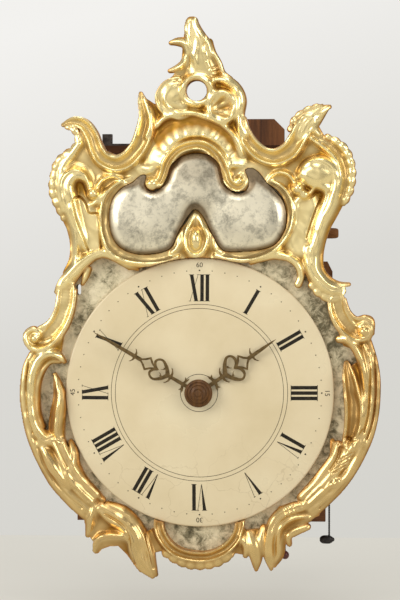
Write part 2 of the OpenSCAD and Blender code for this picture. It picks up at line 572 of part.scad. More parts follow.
module right_border() {
    color(gold) on_front(face_y) carved(right_border_field) {
        linear_extrude(ground_t) polygon([[121, 84], [134, 84], [140, 72], [150, 67], [159, 68], [160, 50],
            [158, 42], [164, 22], [165, -8], [161, -38], [152, -62], [136, -86], [118, -104], [103, -118],
            [97, -100], [114, -84], [124, -62], [134, -46], [137, -26], [135, 0], [138, 20], [142, 26],
            [148, 30], [150, 38], [134, 44], [128, 60]]);
        // Hatched band down to the volute
        rib([[127, 87, 13, 8], [129, 76, 12, 8], [135, 65, 11, 8], [144, 57, 9, 9]]);
        rib([[121, 87, 4, 12], [124, 73, 5, 12], [130, 61, 5, 13], [139, 52, 5, 14], [149, 50, 5, 14],
            [157, 53, 5, 14], [158, 61, 4, 13], [152, 64, 4, 12]]);
        rib([[134, 86, 4, 11], [138, 75, 4, 11], [145, 67, 5, 11], [154, 67, 7, 11], [159, 60, 7, 11],
            [158, 49, 7, 12]]);
        translate([153, 58, 0]) cylinder(r1 = 4.5, r2 = 3, h = 15, $fn = 12);
        // Main band with its curled end
        rib([[131, 49, 6, 11], [138, 47, 8, 15], [147, 41, 8, 16], [153, 31, 8, 17], [157, 18, 9, 17],
            [159, 2, 9, 17], [158, -14, 9, 17], [156, -30, 10, 17], [151, -46, 12, 16], [143, -62, 14, 16],
            [133, -77, 14, 15], [121, -91, 13, 15], [107, -104, 12, 14], [98, -112, 9, 12]]);
        rib([[158, 46, 6, 12], [161, 34, 6, 13], [164, 20, 6, 13], [165, 4, 6, 13], [165, -12, 6, 13],
            [162, -28, 6, 13], [157, -46, 6, 13], [150, -62, 7, 13], [141, -77, 7, 13], [130, -91, 7, 12],
            [117, -104, 7, 12], [104, -115, 6, 10]]);
        // Veined leaf and small leaf
        rib([[143, 27, 3, 9], [140, 15, 9, 14], [141, 0, 12, 16], [143, -15, 12, 16], [142, -30, 11, 16],
            [139, -46, 10, 15], [134, -62, 10, 14], [124, -78, 10, 13], [112, -90, 9, 12]]);
        rib([[144, 26, 3, 9], [150, 13, 5, 12], [153, -2, 5, 13], [152, -18, 5, 13], [149, -34, 5, 12]]);
        rib([[121, -47, 4, 9], [124, -58, 8, 13], [123, -70, 9, 13], [116, -81, 8, 12], [106, -92, 7, 11],
            [95, -101, 6, 10]]);
        lobes([for (p = [[158, -34], [154, -46], [148, -58], [141, -70], [132, -82], [121, -93],
            [110, -103],
            [160, -18]]) [p.x, p.y, p.x - 5, p.y + 8]], 6, 14);
    }
}

module apron_carving() {
    color(gold) on_front(face_y) carved(apron_field) {
        linear_extrude(ground_t) polygon([[-104, -120], [-98, -104], [-86, -110], [-66, -114], [-56, -124],
            [-50, -132], [-43, -128], [-38, -122], [-35, -136], [-26, -146], [-12, -151], [4, -151],
            [22, -147], [33, -137], [37, -122], [44, -130], [62, -126], [74, -106], [98, -102], [100, -122],
            [84, -132], [78, -144], [70, -162], [60, -152], [53, -164], [46, -152], [34, -150],
            [26, -157], [10, -163], [-10, -163], [-26, -155], [-34, -148], [-42, -150], [-42, -170],
            [-56, -168], [-68, -152], [-78, -142], [-94, -148], [-104, -134]]);
        // Rim of the lower field
        rib([[-39, -119, 8, 14], [-38, -132, 9, 15], [-31, -144, 9, 16], [-18, -152, 9, 17],
            [-1, -154, 9, 17],
            [17, -152, 9, 17], [30, -144, 9, 16], [36, -132, 9, 15], [37, -119, 8, 14]]);
        lobes([for (a = [-150 : 15 : -30]) [38 * cos(a), -125 + 33 * sin(a), 40 * cos(a), -125 + 38 * sin(a)]],
            8, 11);
        // Left foot: leaf hook, curled shell and falling leaves
        rib([[-97, -105, 7, 11], [-100, -117, 11, 14], [-102, -128, 9, 13], [-105, -137, 5, 9]]);
        rib([[-66, -147, 7, 11], [-68, -138, 10, 15], [-78, -136, 11, 16], [-90, -139, 11, 15],
            [-96, -148, 6, 9]]);
        rib([[-94, -108, 9, 13], [-82, -117, 14, 15], [-70, -124, 14, 16], [-61, -134, 14, 17],
            [-58, -147, 14, 17], [-55, -160, 12, 15], [-44, -172, 5, 9]]);
        rib([[-84, -108, 6, 11], [-70, -113, 9, 13], [-60, -121, 8, 14], [-53, -134, 9, 15],
            [-48, -148, 10, 15], [-46, -160, 8, 12], [-42, -170, 4, 8]]);
        // Right foot: three falling leaves and its curl
        rib([[36, -140, 6, 12], [46, -140, 8, 13], [52, -148, 9, 14], [53, -158, 7, 11], [53, -165, 3, 7]]);
        rib([[98, -106, 8, 12], [86, -108, 10, 14], [74, -114, 11, 16], [67, -125, 11, 17],
            [64, -139, 10, 16], [65, -152, 9, 14], [67, -164, 4, 9]]);
        rib([[100, -115, 9, 12], [88, -118, 9, 14], [78, -126, 9, 15], [74, -139, 8, 15], [73, -152, 7, 13],
            [70, -162, 4, 9]]);
    }
}

// Height of the silver cushion: three swellings that blend
function swell(x, y, cx, cy, rx, ry) = max(0, 1 - pow((x - cx) / rx, 2) - pow((y - cy) / ry, 2));
function cushion_top(x, y) = ground_t + (cushion_h - ground_t) * min(1, 1.1 * sqrt(
    swell(x, y, -48, 160, 48, 42) + swell(x, y, 44, 160, 46, 38) + swell(x, y, -3, 200, 32, 34)));

module silver_cartouche() {
    rings = [1, 0.94, 0.8, 0.6, 0.4, 0.2];
    middle = [-3, 184];
    n = len(cushion_line);
    side_z = 5;
    verts = concat(
        [for (p = cushion_line) [p.x, p.y, 0]],
        [for (s = rings) for (p = cushion_line) let (x = middle.x + (p.x - middle.x) * s,
            y = middle.y + (p.y - middle.y) * s) [x, y, s == 1 ? side_z : cushion_top(x, y)]],
        [[middle.x, middle.y, 0], [middle.x, middle.y, cushion_top(middle.x, middle.y)]]);
    levels = len(rings);
    skin = [for (l = [0 : levels - 1]) for (i = [0 : n - 1])
        let (a = l * n + i, b = l * n + (i + 1) % n) each [[a, b, b + n], [a, b + n, a + n]]];
    base = [for (i = [0 : n - 1]) [(levels + 1) * n, (i + 1) % n, i]];
    cap = [for (i = [0 : n - 1]) [(levels + 1) * n + 1, levels * n + i, levels * n + (i + 1) % n]];
    color(silver) on_front(face_y) polyhedron(verts, concat(skin, base, cap));
}

module palmette() {
    color(gold) on_front(face_y) carved([[-27, 116], [-27, 178], [22, 178], [22, 116]]) {
        linear_extrude(ground_t) polygon([[-30, 112], [-30, 134], [-17, 151], [-10, 163], [-4, 172],
            [4, 165], [11, 150], [25, 134], [25, 112]]);
        // Bead and the flame round it
        lobes([[-3, 136, -3, 149]], 11, 17);
        rib([[-4, 165, 4, 9], [-9, 157, 5, 12], [-13, 146, 5, 13], [-11, 134, 5, 14], [-4, 129, 5, 14]]);
        rib([[-1, 163, 4, 9], [3, 156, 5, 12], [8, 146, 5, 13], [6, 134, 5, 14], [-1, 128, 5, 13]]);
        rib([[-13, 155, 3, 8], [-18, 147, 5, 11], [-18, 138, 6, 12], [-23, 130, 6, 11]]);
        rib([[8, 153, 3, 8], [14, 145, 5, 11], [13, 137, 6, 12], [17, 131, 5, 11]]);
        lobes([for (x = [-21, -15, -9, 4, 10, 16]) [x, 127, x * 1.1, 130.5]], 6, 10);
        lobes([[-17, 142, -16, 145]], 5, 13);
    }
}

module dial_plate() {
    steps = 14;
    color("antiquewhite") on_front(face_y) union() {
        rotate_extrude($fn = 96) polygon(concat([[dial_hole_r, 0], [dial_r, 0]],
            [for (i = [0 : steps]) let (r = dial_r + (dial_hole_r - dial_r) * i / steps)
                [r, dial_edge_t + dial_rise * (1 - pow(r / dial_r, 2))]]));
        for (i = [0 : pips - 1])
            rotate(i * 360 / pips) translate([0, dial_r * 0.905, dial_edge_t])
                cylinder(r = 0.8, h = dial_rise * (1 - pow(0.905, 2)) + 0.15, $fn = 24);
    }
}

// Flat outlines of the pierced hands, pointing up from the middle
module heart(y0, y1, w) {
    difference() {
        polygon([[0, y0], [w * 0.6, y0 + 2], [w, y0 + (y1 - y0) * 0.45], [w * 0.9, y1 - 3], [w * 0.5, y1],
            [0, y1 - 4], [-w * 0.5, y1], [-w * 0.9, y1 - 3], [-w, y0 + (y1 - y0) * 0.45],
            [-w * 0.6, y0 + 2]]);
        polygon([[0, y0 + 4], [w * 0.4, y0 + 5], [w - 3.5, y0 + (y1 - y0) * 0.48], [w * 0.6, y1 - 4],
            [0, y1 - 8], [-w * 0.6, y1 - 4], [3.5 - w, y0 + (y1 - y0) * 0.48], [-w * 0.4, y0 + 5]]);
    }
}

module lozenge(y0, y1, w) {
    mid = (y0 + y1) / 2;
    difference() {
        polygon([[0, y0], [w, mid], [0, y1], [-w, mid]]);
        polygon([[0, y0 + 4], [w - 3, mid], [0, y1 - 4], [3 - w, mid]]);
    }
}

module thorns(y0, w) {
    polygon([[-w, y0 + 3], [0, y0 - 2], [w, y0 + 3], [0, y0 + 2]]);
}

module minute_hand() {
    color(brass) on_front(minute_hand_y) rotate(-minute_angle) linear_extrude(hand_t) difference() {
        union() {
            circle(r = 9);
            translate([-2.4, 0]) square([4.8, 34]);
            translate([-7, 14.5]) square([14, 3]);
            thorns(31, 8);
            heart(31, 50, 10.7);
            lozenge(44, 64, 7.2);
            thorns(68, 6);
            polygon([[-2.2, 60], [2.2, 60], [1.6, minute_len * 0.8], [0.4, minute_len], [-0.4, minute_len],
                [-1.6, minute_len * 0.8]]);
        }
        circle(r = tube_r);
    }
}

module hour_hand() {
    color(brass) on_front(hour_hand_y) rotate(-hour_angle) linear_extrude(hand_t) difference() {
        union() {
            circle(r = 9.5);
            translate([-2.6, 0]) square([5.2, 31]);
            translate([-7.7, 15.5]) square([15.4, 3.6]);
            thorns(26, 8);
            heart(28, 46.5, 13.4);
            lozenge(41, 58, 8.6);
            thorns(60, 6.5);
            polygon([[-2, 54], [2, 54], [1.5, hour_len * 0.85], [0.4, hour_len], [-0.4, hour_len],
                [-1.5, hour_len * 0.85]]);
        }
        circle(r = pipe_r);
    }
}

module hub_boss() {
    color("sienna") on_front(boss_y) rotate_extrude() polygon([[0, boss_h], [0, 0], [boss_r, 0],
        [boss_r, boss_h * 0.45], [boss_r * 0.86, boss_h * 0.75], [boss_r * 0.8, boss_h * 0.6],
        [boss_r * 0.62, boss_h * 0.95], [boss_r * 0.55, boss_h * 0.75], [boss_r * 0.35, boss_h],
        [boss_r * 0.28, boss_h * 0.8]]);
}

// Tubes of the hands: the centre arbor turns inside the minute tube, and that inside the hour pipe
core_r = 2;
tube_r = 3;
pipe_r = 4.2;
tube_back = case_front - 1.5;
motion_t = 2.4;

// A toothed wheel with its middle at 0 and a tooth gap in the direction gap_dir
module toothed(n, m, t, gap_dir) {
    r = n * m / 2;
    a = 360 / n;
    start = 90 - gap_dir + a / 2;
    translate([0, 0, -t / 2]) linear_extrude(t) polygon([for (i = [0 : n - 1]) each [
        (r - 1.25 * m) * [cos(start + (i - 0.2) * a), sin(start + (i - 0.2) * a)],
        (r + 0.85 * m) * [cos(start + (i - 0.09) * a), sin(start + (i - 0.09) * a)],
        (r + 0.85 * m) * [cos(start + (i + 0.09) * a), sin(start + (i + 0.09) * a)],
        (r - 1.25 * m) * [cos(start + (i + 0.2) * a), sin(start + (i + 0.2) * a)]]]);
}

// A train wheel with its windows between the arms
module wheel(n, m, t, gap_dir, arms = 4) {
    r = n * m / 2 - 1.25 * m;
    difference() {
        toothed(n, m, t, gap_dir);
        translate([0, 0, -t]) linear_extrude(2 * t) difference() {
            circle(r = r - 3.5);
            circle(r = 7);
            for (i = [0 : arms - 1]) rotate(i * 360 / arms) translate([-1.6, 0]) square([3.2, r]);
        }
    }
}

// A lantern pinion, its middle at 0, with one of its rods in the direction rod_dir
module lantern(n, m, rod_dir) {
    r = n * m / 2;
    span = lantern_gap + 2 * lantern_disc;
    for (s = [-1, 1]) translate([0, 0, s * (lantern_gap + lantern_disc) / 2])
        cylinder(r = r + 1.1, h = lantern_disc, center = true);
    for (i = [0 : n - 1]) rotate(90 - rod_dir + i * 360 / n) translate([r, 0, 0])
        cylinder(r = 0.45, h = span, center = true);
}

// An arbor from plane y0 forward to plane y1, with pivots at its ends
module arbor_y(at, y0, y1, r = arbor_r, back_pivot = plate_t, front_pivot = plate_t) {
    on_arbor(at, y0 - 0.4) cylinder(r = r, h = y0 - y1 - 0.8);
    on_arbor(at, y0 + back_pivot) cylinder(r = pivot_r, h = back_pivot + 1);
    on_arbor(at, y1 + 1) cylinder(r = pivot_r, h = front_pivot + 1);
}

// A great wheel with its cord drum behind it
module drum_wheel(at, y0, depth) {
    on_arbor(at, y0) wheel(great_teeth, great_module, wheel_t, 0);
    on_arbor(at, y0 + depth) cylinder(r = drum_r, h = depth - wheel_t / 2);
    for (y = [y0 + depth, y0 + 2 + wheel_t / 2]) on_arbor(at, y) cylinder(r = drum_r + 2, h = 2);
}

module great_wheel() {
    color(brass) union() {
        drum_wheel(great_at, great_y, 15);
        arbor_y(great_at, middle_front, front_plate_back);
    }
}

module centre_wheel() {
    color(brass) union() {
        on_arbor(centre_at, centre_y) wheel(wheel_teeth, train_module, wheel_t, third_dir);
        on_arbor(centre_at, great_y) lantern(centre_leaves, great_module, 180);
        arbor_y(centre_at, middle_front, front_plate_back);
        on_arbor(centre_at, front_plate_back) cylinder(r = pivot_r, h = plate_t + 1);
        on_arbor(centre_at, case_front - 0.3) cylinder(r = core_r, h = case_front - 0.3 - boss_y - 0.3);
    }
}

module third_wheel() {
    color(brass) union() {
        on_arbor(third_at, third_y) wheel(wheel_teeth, train_module, wheel_t, escape_dir);
        on_arbor(third_at, centre_y) lantern(small_leaves, train_module, third_dir + 180);
        arbor_y(third_at, middle_front, front_plate_back);
    }
}

module escape_wheel() {
    a = 360 / escape_teeth;
    color(brass) union() {
        on_arbor(escape_at, escape_y) translate([0, 0, -0.8]) linear_extrude(1.6) difference() {
            polygon([for (i = [0 : escape_teeth - 1]) each [
                (escape_r - 3.2) * [cos(i * a), sin(i * a)],
                escape_r * [cos(i * a + 1), sin(i * a + 1)],
                escape_r * [cos(i * a + 1.8), sin(i * a + 1.8)],
                (escape_r - 3.2) * [cos(i * a + 5), sin(i * a + 5)]]]);
            difference() {
                circle(r = escape_r - 5.5);
                circle(r = 5);
                for (i = [0 : 3]) rotate(i * 90) translate([-1.2, 0]) square([2.4, escape_r]);
            }
        }
        on_arbor(escape_at, third_y) lantern(small_leaves, train_module, escape_dir + 180);
        arbor_y(escape_at, middle_front, front_plate_back);
    }
}

module anchor() {
    reach = escape_r + pallet_gap;
    s = sqrt(0.5);
    tip = [reach * s, reach * s - anchor_dist];
    color(iron) union() {
        on_arbor(anchor_at, escape_y) translate([0, 0, -1.5]) linear_extrude(3) difference() {
            union() {
                circle(r = 5);
                for (k = [-1, 1]) polygon([[0, 4], [k * (tip.x + 3), -4], [k * (tip.x + 4), tip.y + 1],
                    [k * tip.x, tip.y], [k * (tip.x + 0.3), tip.y + 3], [k * tip.x * 0.6, -5], [0, -4]]);
            }
            circle(r = 0.9 * arbor_r);
        }
        arbor_y(anchor_at, middle_front, front_plate_back);
        on_arbor(anchor_at, case_front - 0.3) cylinder(r = 2, h = pendulum_arbor);
    }
}
pendulum_arbor = 9;
pendulum_y = case_front - 2.5;

module pendulum() {
    color(brass) on_arbor(anchor_at, pendulum_y) difference() {
        union() {
            cylinder(r = 5, h = 4);
            translate([-1.5, -pendulum_len + bob_r - 2, 0.5]) cube([3, pendulum_len - bob_r, 3]);
            translate([0, -pendulum_len, 0]) cylinder(r = bob_r, h = bob_t - 2);
            translate([0, -pendulum_len, 0]) cylinder(r = bob_r * 0.8, h = bob_t);
            translate([-1, -pendulum_len - bob_r - 5, 0.5]) cube([2, 8, 2]);
        }
        translate([0, 0, -1]) cylinder(r = 2, h = 20);
    }
}

module minute_tube() {
    color(brass) on_front(tube_back) difference() {
        union() {
            translate([0, 0, motion_t / 2]) toothed(minute_pinion_teeth, motion_module, motion_t, -90);
            cylinder(r = tube_r, h = tube_back - boss_y);
        }
        translate([0, 0, -1]) cylinder(r = core_r + run_fit, h = 80);
    }
}

hour_wheel_y = tube_back - motion_t - 2.2;

module hour_wheel() {
    color(brass) on_front(hour_wheel_y) difference() {
        union() {
            translate([0, 0, 1]) toothed(hour_wheel_teeth, hour_module, 2, -90);
            cylinder(r = pipe_r, h = hour_wheel_y - hour_hand_y + hand_t);
        }
        translate([0, 0, -1]) cylinder(r = tube_r + run_fit, h = 80);
        for (i = [0 : 3]) rotate(45 + i * 90) translate([10.5, 0, -1]) cylinder(r = 3, h = 4);
    }
}

stud_r = 1.5;

module motion_wheel() {
    color(brass) on_front(tube_back) translate([motion_at.x, motion_at.y, 0]) difference() {
        union() {
            // A tooth of the wheel meets a gap of the pinion, so it stands half a pitch round
            translate([0, 0, motion_t / 2]) toothed(minute_wheel_teeth, motion_module, motion_t,
                90 + 180 / minute_wheel_teeth);
            translate([0, 0, motion_t + 2.2]) toothed(hour_pinion_teeth, hour_module, 4.4,
                90 + 180 / hour_pinion_teeth);
        }
        translate([0, 0, -1]) cylinder(r = stud_r + run_fit, h = 20);
        for (i = [0 : 3]) rotate(45 + i * 90) translate([9.5, 0, -1]) cylinder(r = 2.5, h = 20);
    }
}

// Holes for arbors through a plate, as [place, radius]
module arbor_holes(list, y0, len_y) {
    for (h = list) on_arbor(h[0], y0 + 1) cylinder(r = h[1] + run_fit, h = len_y + 2);
}

module back_board() {
    color(wood) difference() {
        on_front(wall_y) linear_extrude(back_t) polygon([[-back_half_w, case_bottom_z],
            [back_half_w, case_bottom_z], [back_half_w, shoulder_z - back_chamfer],
            [back_half_w - back_chamfer / 2, shoulder_z], [back_top_half_w, shoulder_z],
            [back_top_half_w, back_top_z - back_chamfer], [back_top_half_w - back_chamfer, back_top_z],
            [back_chamfer - back_top_half_w, back_top_z], [-back_top_half_w, back_top_z - back_chamfer],
            [-back_top_half_w, shoulder_z], [back_chamfer / 2 - back_half_w, shoulder_z],
            [-back_half_w, shoulder_z - back_chamfer]]);
        translate([0, wall_y + 1, 0]) rotate([90, 0, 0]) cylinder(r = hole_r, h = back_t + 2);
        on_arbor(bell_at, wall_y + 1) cylinder(r = bell_stud_r, h = back_t + 2);
    }
}
bell_stud_r = 2.5;

// A board of the case with the four holes for the door pins
module case_board(z0) {
    difference() {
        board(-case_half_w, case_half_w, case_front, back_front, z0, z0 + board_t);
        for (s = [-1, 1]) translate([s * door_x, door_y, dial_z + z0 - 1])
            cylinder(r = door_pin_r + run_fit, h = board_t + 2);
    }
}

module top_board() {
    color(wood) case_board(case_ceiling);
}

module bottom_board() {
    color(wood) difference() {
        case_board(case_bottom_z);
        translate([release_at.x + release_arm, release_y, dial_z + case_bottom_z - 1])
            cylinder(r = 6, h = board_t + 2);
        // Slots for the weight lines of the two drums
        for (p = [[great_at.x, great_y + 8], [strike_great_at.x, strike_great_y + 6]])
            board(p.x - drum_r - 5, p.x + drum_r + 5, p.y - 5, p.y + 5, case_bottom_z - 1, case_floor + 1);
    }
}

module corner_posts() {
    color(wood) for (s = [0, 1]) mirror([s, 0, 0])
        for (y = [back_front - post_side, case_front])
            board(post_x, post_x + post_side, y, y + post_side, case_floor, case_ceiling);
}

module movement_plate(y0) {
    board(-plate_half_w, plate_half_w, y0, y0 + plate_t, case_floor, deck_z);
}

module front_plate() {
    color(pale_wood) union() {
        difference() {
            movement_plate(case_front);
            arbor_holes([[great_at, pivot_r], [centre_at, pivot_r], [third_at, pivot_r],
                [escape_at, pivot_r], [anchor_at, pivot_r]], front_plate_back, plate_t);
            // Stud holes of the two pull levers
            arbor_holes([[release_at, lever_pin_r - run_fit], [repeat_at, lever_pin_r - run_fit]],
                front_plate_back, plate_t);
        }
        on_arbor(motion_at, case_front) cylinder(r = stud_r, h = 10.5);
        on_arbor(repeat_at, front_plate_back) cylinder(r = lever_pin_r, h = plate_t + 10);
        on_arbor(release_at, release_y + 4) cylinder(r = lever_pin_r, h = release_y + 4 - case_front);
    }
}
lever_pin_r = 2;

module middle_plate() {
    color(pale_wood) difference() {
        movement_plate(middle_front);
        arbor_holes([[great_at, pivot_r], [centre_at, pivot_r], [third_at, pivot_r], [escape_at, pivot_r],
            [anchor_at, pivot_r], [strike_great_at, pivot_r], [pin_wheel_at, pivot_r],
            [warning_at, pivot_r],
            [strike_fly_at, pivot_r], [hammer_at, pivot_r]], middle_back, plate_t);
    }
}

module rear_plate() {
    color(pale_wood) difference() {
        movement_plate(rear_front);
        arbor_holes([[strike_great_at, pivot_r], [pin_wheel_at, pivot_r], [warning_at, pivot_r],
            [strike_fly_at, pivot_r], [hammer_at, arbor_r]], rear_back, plate_t);
    }
}

module music_deck() {
    color(pale_wood) difference() {
        board(-post_x - post_side, post_x + post_side, case_front, back_front, deck_z, deck_top);
        for (s = [-1, 1]) for (y = [back_front - post_side, case_front])
            translate([s * (post_x + post_side / 2), y + post_side / 2, dial_z + deck_z + deck_t / 2])
                cube([post_side + 0.02, post_side + 0.02, deck_t + 2], center = true);
        // Opening for the pins of the great wheel and its weight cord
        translate([(left_cheek_x + cheek_t + middle_cheek_x) / 2, barrel_y, dial_z + deck_z - 1])
            cylinder(r = 6, h = deck_t + 2);
    }
}

module shield_battens() {
    color(wood) for (b = [[case_bottom_z - 4, batten_half_len], [case_top_z - batten_h - 8, 100]])
        board(-b[1], b[1], shield_back, case_front, b[0], b[0] + batten_h);
}

module door(s) {
    mirror([s < 0 ? 1 : 0, 0, 0]) union() {
        board(door_x - door_t / 2, door_x + door_t / 2, case_front + 2, door_y + 3,
            case_floor + door_gap, case_ceiling - door_gap);
        for (z = [case_floor + door_gap - door_pin_len, case_ceiling - door_gap - 12])
            translate([door_x, door_y, dial_z + z]) cylinder(r = door_pin_r, h = door_pin_len + 12);
    }
}

module left_door() {
    color(pale_wood) door(-1);
}

module right_door() {
    color(pale_wood) difference() {
        door(1);
        translate([door_x - 10, knob_y, dial_z + knob_z]) rotate([0, 90, 0]) cylinder(r = 2, h = 20);
    }
}
knob_y = case_front + 16;

module door_knob() {
    outside = door_x + door_t / 2;
    color("sienna") on_cross(outside - door_t, knob_y, knob_z) rotate_extrude() polygon([[0, 0],
        [2, 0], [2, door_t], [knob_r * 0.8, door_t],
            [knob_r * 0.7, door_t + 4], [knob_r, door_t + knob_len * 0.55],
            [knob_r, door_t + knob_len - 2], [knob_r * 0.7, door_t + knob_len], [0, door_t + knob_len]]);
}

// Music stop: an iron strip that slides along X on the top board, with a square post to push
slide_y = case_front + 26;
slide_t = 2.5;
slide_w = 10;
slide_x = -92.5;
module silence_slide() {
    color(iron) union() {
        board(slide_x, slide_x + 75, slide_y - slide_w / 2, slide_y + slide_w / 2, case_top_z + 0.3,
            case_top_z + 0.3 + slide_t);
        board(slide_x - 4.5, slide_x + 4.5, slide_y - 4.5, slide_y + 4.5, case_top_z + 0.3, case_top_z + 12);
    }
}

module slide_staples() {
    color(iron) for (x = [slide_x + 26, slide_x + 50]) difference() {
        board(x, x + 3, slide_y - slide_w / 2 - 3, slide_y + slide_w / 2 + 3, case_top_z,
            case_top_z + slide_t + 3);
        board(x - 1, x + 4, slide_y - slide_w / 2 - 0.3, slide_y + slide_w / 2 + 0.3, case_top_z - 1,
            case_top_z + slide_t + 0.6);
    }
}

module strike_great_wheel() {
    color(brass) union() {
        drum_wheel(strike_great_at, strike_great_y, 11);
        arbor_y(strike_great_at, rear_front, middle_back, arbor_r, plate_t, 3);
    }
}

module pin_wheel() {
    color(brass) union() {
        on_arbor(pin_wheel_at, pin_wheel_y) wheel(pin_wheel_teeth, train_module, wheel_t, warning_dir);
        for (i = [0 : 7]) on_arbor(pin_wheel_at, pin_wheel_y + 7) rotate(i * 45) translate([27, 0, 0])
            cylinder(r = 1, h = 7);
        on_arbor(pin_wheel_at, strike_great_y) lantern(centre_leaves, great_module, 180);
        arbor_y(pin_wheel_at, rear_front, middle_back, arbor_r, plate_t, 3);
    }
}

module warning_wheel() {
    color(brass) union() {
        on_arbor(warning_at, warning_y) wheel(warning_teeth, train_module, wheel_t, strike_fly_dir);
        on_arbor(warning_at, pin_wheel_y) lantern(warning_leaves, train_module, warning_dir + 180);
        arbor_y(warning_at, rear_front, middle_back, arbor_r, plate_t, 3);
    }
}

module strike_fly() {
    color(brass) union() {
        on_arbor(strike_fly_at, warning_y) lantern(small_leaves, train_module, strike_fly_dir + 180);
        on_arbor(strike_fly_at, middle_back + 22) translate([-15, -0.5, 0]) cube([30, 1, 19]);
        arbor_y(strike_fly_at, rear_front, middle_back, arbor_r, plate_t, 3);
    }
}

hammer_arm_y = rear_back + 6;

module hour_hammer() {
    arm_dir = atan2(15, 52);
    color(iron) union() {
        on_arbor(hammer_at, hammer_arm_y) cylinder(r = arbor_r, h = hammer_arm_y - middle_back - 0.4);
        on_arbor(hammer_at, middle_back + 1) cylinder(r = pivot_r, h = 4);
        on_arbor(hammer_at, hammer_arm_y + 1) rotate(-arm_dir) {
            cylinder(r = 4, h = 3);
            translate([-1.5, 0, 0]) cube([3, 52, 3]);
            translate([0, 54, -2]) cylinder(r = 5, h = 6);
        }
        on_arbor(hammer_at, pin_wheel_y + 5) rotate(-150) translate([-1.2, 0, 0]) cube([2.4, 12, 3]);
    }
}

// A bell as a cup round the local Z: its crown at 0 and its mouth at depth d
module bell(r, d, hole) {
    w = bell_wall;
    rotate_extrude($fn = 64) polygon([[hole, 0], [r * 0.45, 0], [r * 0.75, d * 0.12], [r * 0.88, d * 0.35],
        [r * 0.93, d * 0.7], [r, d], [r - w, d], [r * 0.93 - w, d * 0.7], [r * 0.88 - w, d * 0.38],
        [r * 0.75 - w, d * 0.12 + w], [r * 0.45, w], [hole, w]]);
}

bell_crown_y = back_front - 10;

module hour_bell() {
    color(brass) union() {
        on_arbor(bell_at, bell_crown_y) bell(hour_bell_r, hour_bell_d, bell_stud_r);
        on_arbor(bell_at, wall_y) cylinder(r = bell_stud_r, h = wall_y - bell_crown_y + 6);
        on_arbor(bell_at, back_front) cylinder(r = 5, h = back_front - bell_crown_y);
    }
}

// Holes along X through a cheek, as [y, z, radius]
module cheek(x, holes, y1) {
    difference() {
        board(x, x + cheek_t, y1, back_front - 16, deck_top, music_top);
        for (h = holes) translate([x - 1, h[0], dial_z + h[1]]) rotate([0, 90, 0])
            cylinder(r = h[2], h = cheek_t + 2);
    }
}

rod_r = 2;
music_cheek_front = bell_rod_y - 8;

module music_cheeks() {
    train = [[barrel_y, barrel_z, pivot_r + run_fit], [second_y, second_z, pivot_r + run_fit],
        [music_fly_y, music_fly_z, pivot_r + run_fit]];
    rods = [[bell_rod_y, bell_rod_z, rod_r], [hammer_rod_y, hammer_rod_z, rod_r]];
    color(pale_wood) {
        cheek(left_cheek_x, train, music_cheek_front);
        cheek(middle_cheek_x, concat([[barrel_y, barrel_z, barrel_arbor_r + run_fit]],
            [train[1], train[2]], rods), music_cheek_front);
        cheek(right_cheek_x, concat([train[0]], rods), music_cheek_front);
    }
}
barrel_arbor_r = 3;

// Puts children on an arbor along X: local Z points to +X, and x0 is its start
module on_cross(x0, y0, z0) {
    translate([x0, y0, dial_z + z0]) rotate([0, 90, 0]) children();
}

barrel_x0 = middle_cheek_x + cheek_t + 3;
barrel_x1 = right_cheek_x - 3;
function hammer_x(i) = first_bell_x + i * bell_pitch;

module pin_barrel() {
    color(pale_wood) union() {
        on_cross(barrel_x0, barrel_y, barrel_z) cylinder(r = barrel_r, h = barrel_x1 - barrel_x0);
        on_cross(left_cheek_x + cheek_t + 1, barrel_y, barrel_z)
            cylinder(r = barrel_arbor_r, h = barrel_x0 - left_cheek_x - cheek_t - 1);
        on_cross(left_cheek_x, barrel_y, barrel_z) cylinder(r = pivot_r, h = cheek_t + 2);
        on_cross(barrel_x1 - 1, barrel_y, barrel_z)
            cylinder(r = pivot_r, h = right_cheek_x + cheek_t - barrel_x1 + 1);
        for (i = [0 : tunes - 1]) for (a = [0 : 60 : 300])
            on_cross(hammer_x(i), barrel_y, barrel_z) rotate(a + 37 * i) rotate([0, 90, 0])
                cylinder(r = 0.5, h = barrel_r + barrel_pin_h);
    }
}

music_wheel_x = (left_cheek_x + cheek_t + middle_cheek_x) / 2 - 5;
second_wheel_x = music_wheel_x + 11;

module music_great_wheel() {
    color(brass) on_cross(music_wheel_x, barrel_y, barrel_z) difference() {
        wheel(pin_wheel_teeth, train_module, wheel_t, second_gap_dir);
        cylinder(r = barrel_arbor_r, h = 20, center = true);
    }
}
// Directions in the cross frame, where local x points down and local y to the wall
function cross_dir(y0, z0, y1, z1) = 90 - atan2(y1 - y0, z0 - z1);
second_gap_dir = cross_dir(barrel_y, barrel_z, second_y, second_z);
fly_gap_dir = cross_dir(second_y, second_z, music_fly_y, music_fly_z);

module cross_arbor(x0, x1, y0, z0) {
    on_cross(x0 + 0.4, y0, z0) cylinder(r = arbor_r, h = x1 - x0 - 0.8);
    on_cross(x0 - cheek_t, y0, z0) cylinder(r = pivot_r, h = cheek_t + 1);
    on_cross(x1 - 1, y0, z0) cylinder(r = pivot_r, h = cheek_t + 1);
}

module music_second_wheel() {
    color(brass) union() {
        on_cross(second_wheel_x, second_y, second_z)
            wheel(warning_teeth, train_module, wheel_t, fly_gap_dir);
        on_cross(music_wheel_x, second_y, second_z)
            lantern(warning_leaves, train_module, second_gap_dir + 180);
        cross_arbor(left_cheek_x + cheek_t, middle_cheek_x, second_y, second_z);
    }
}

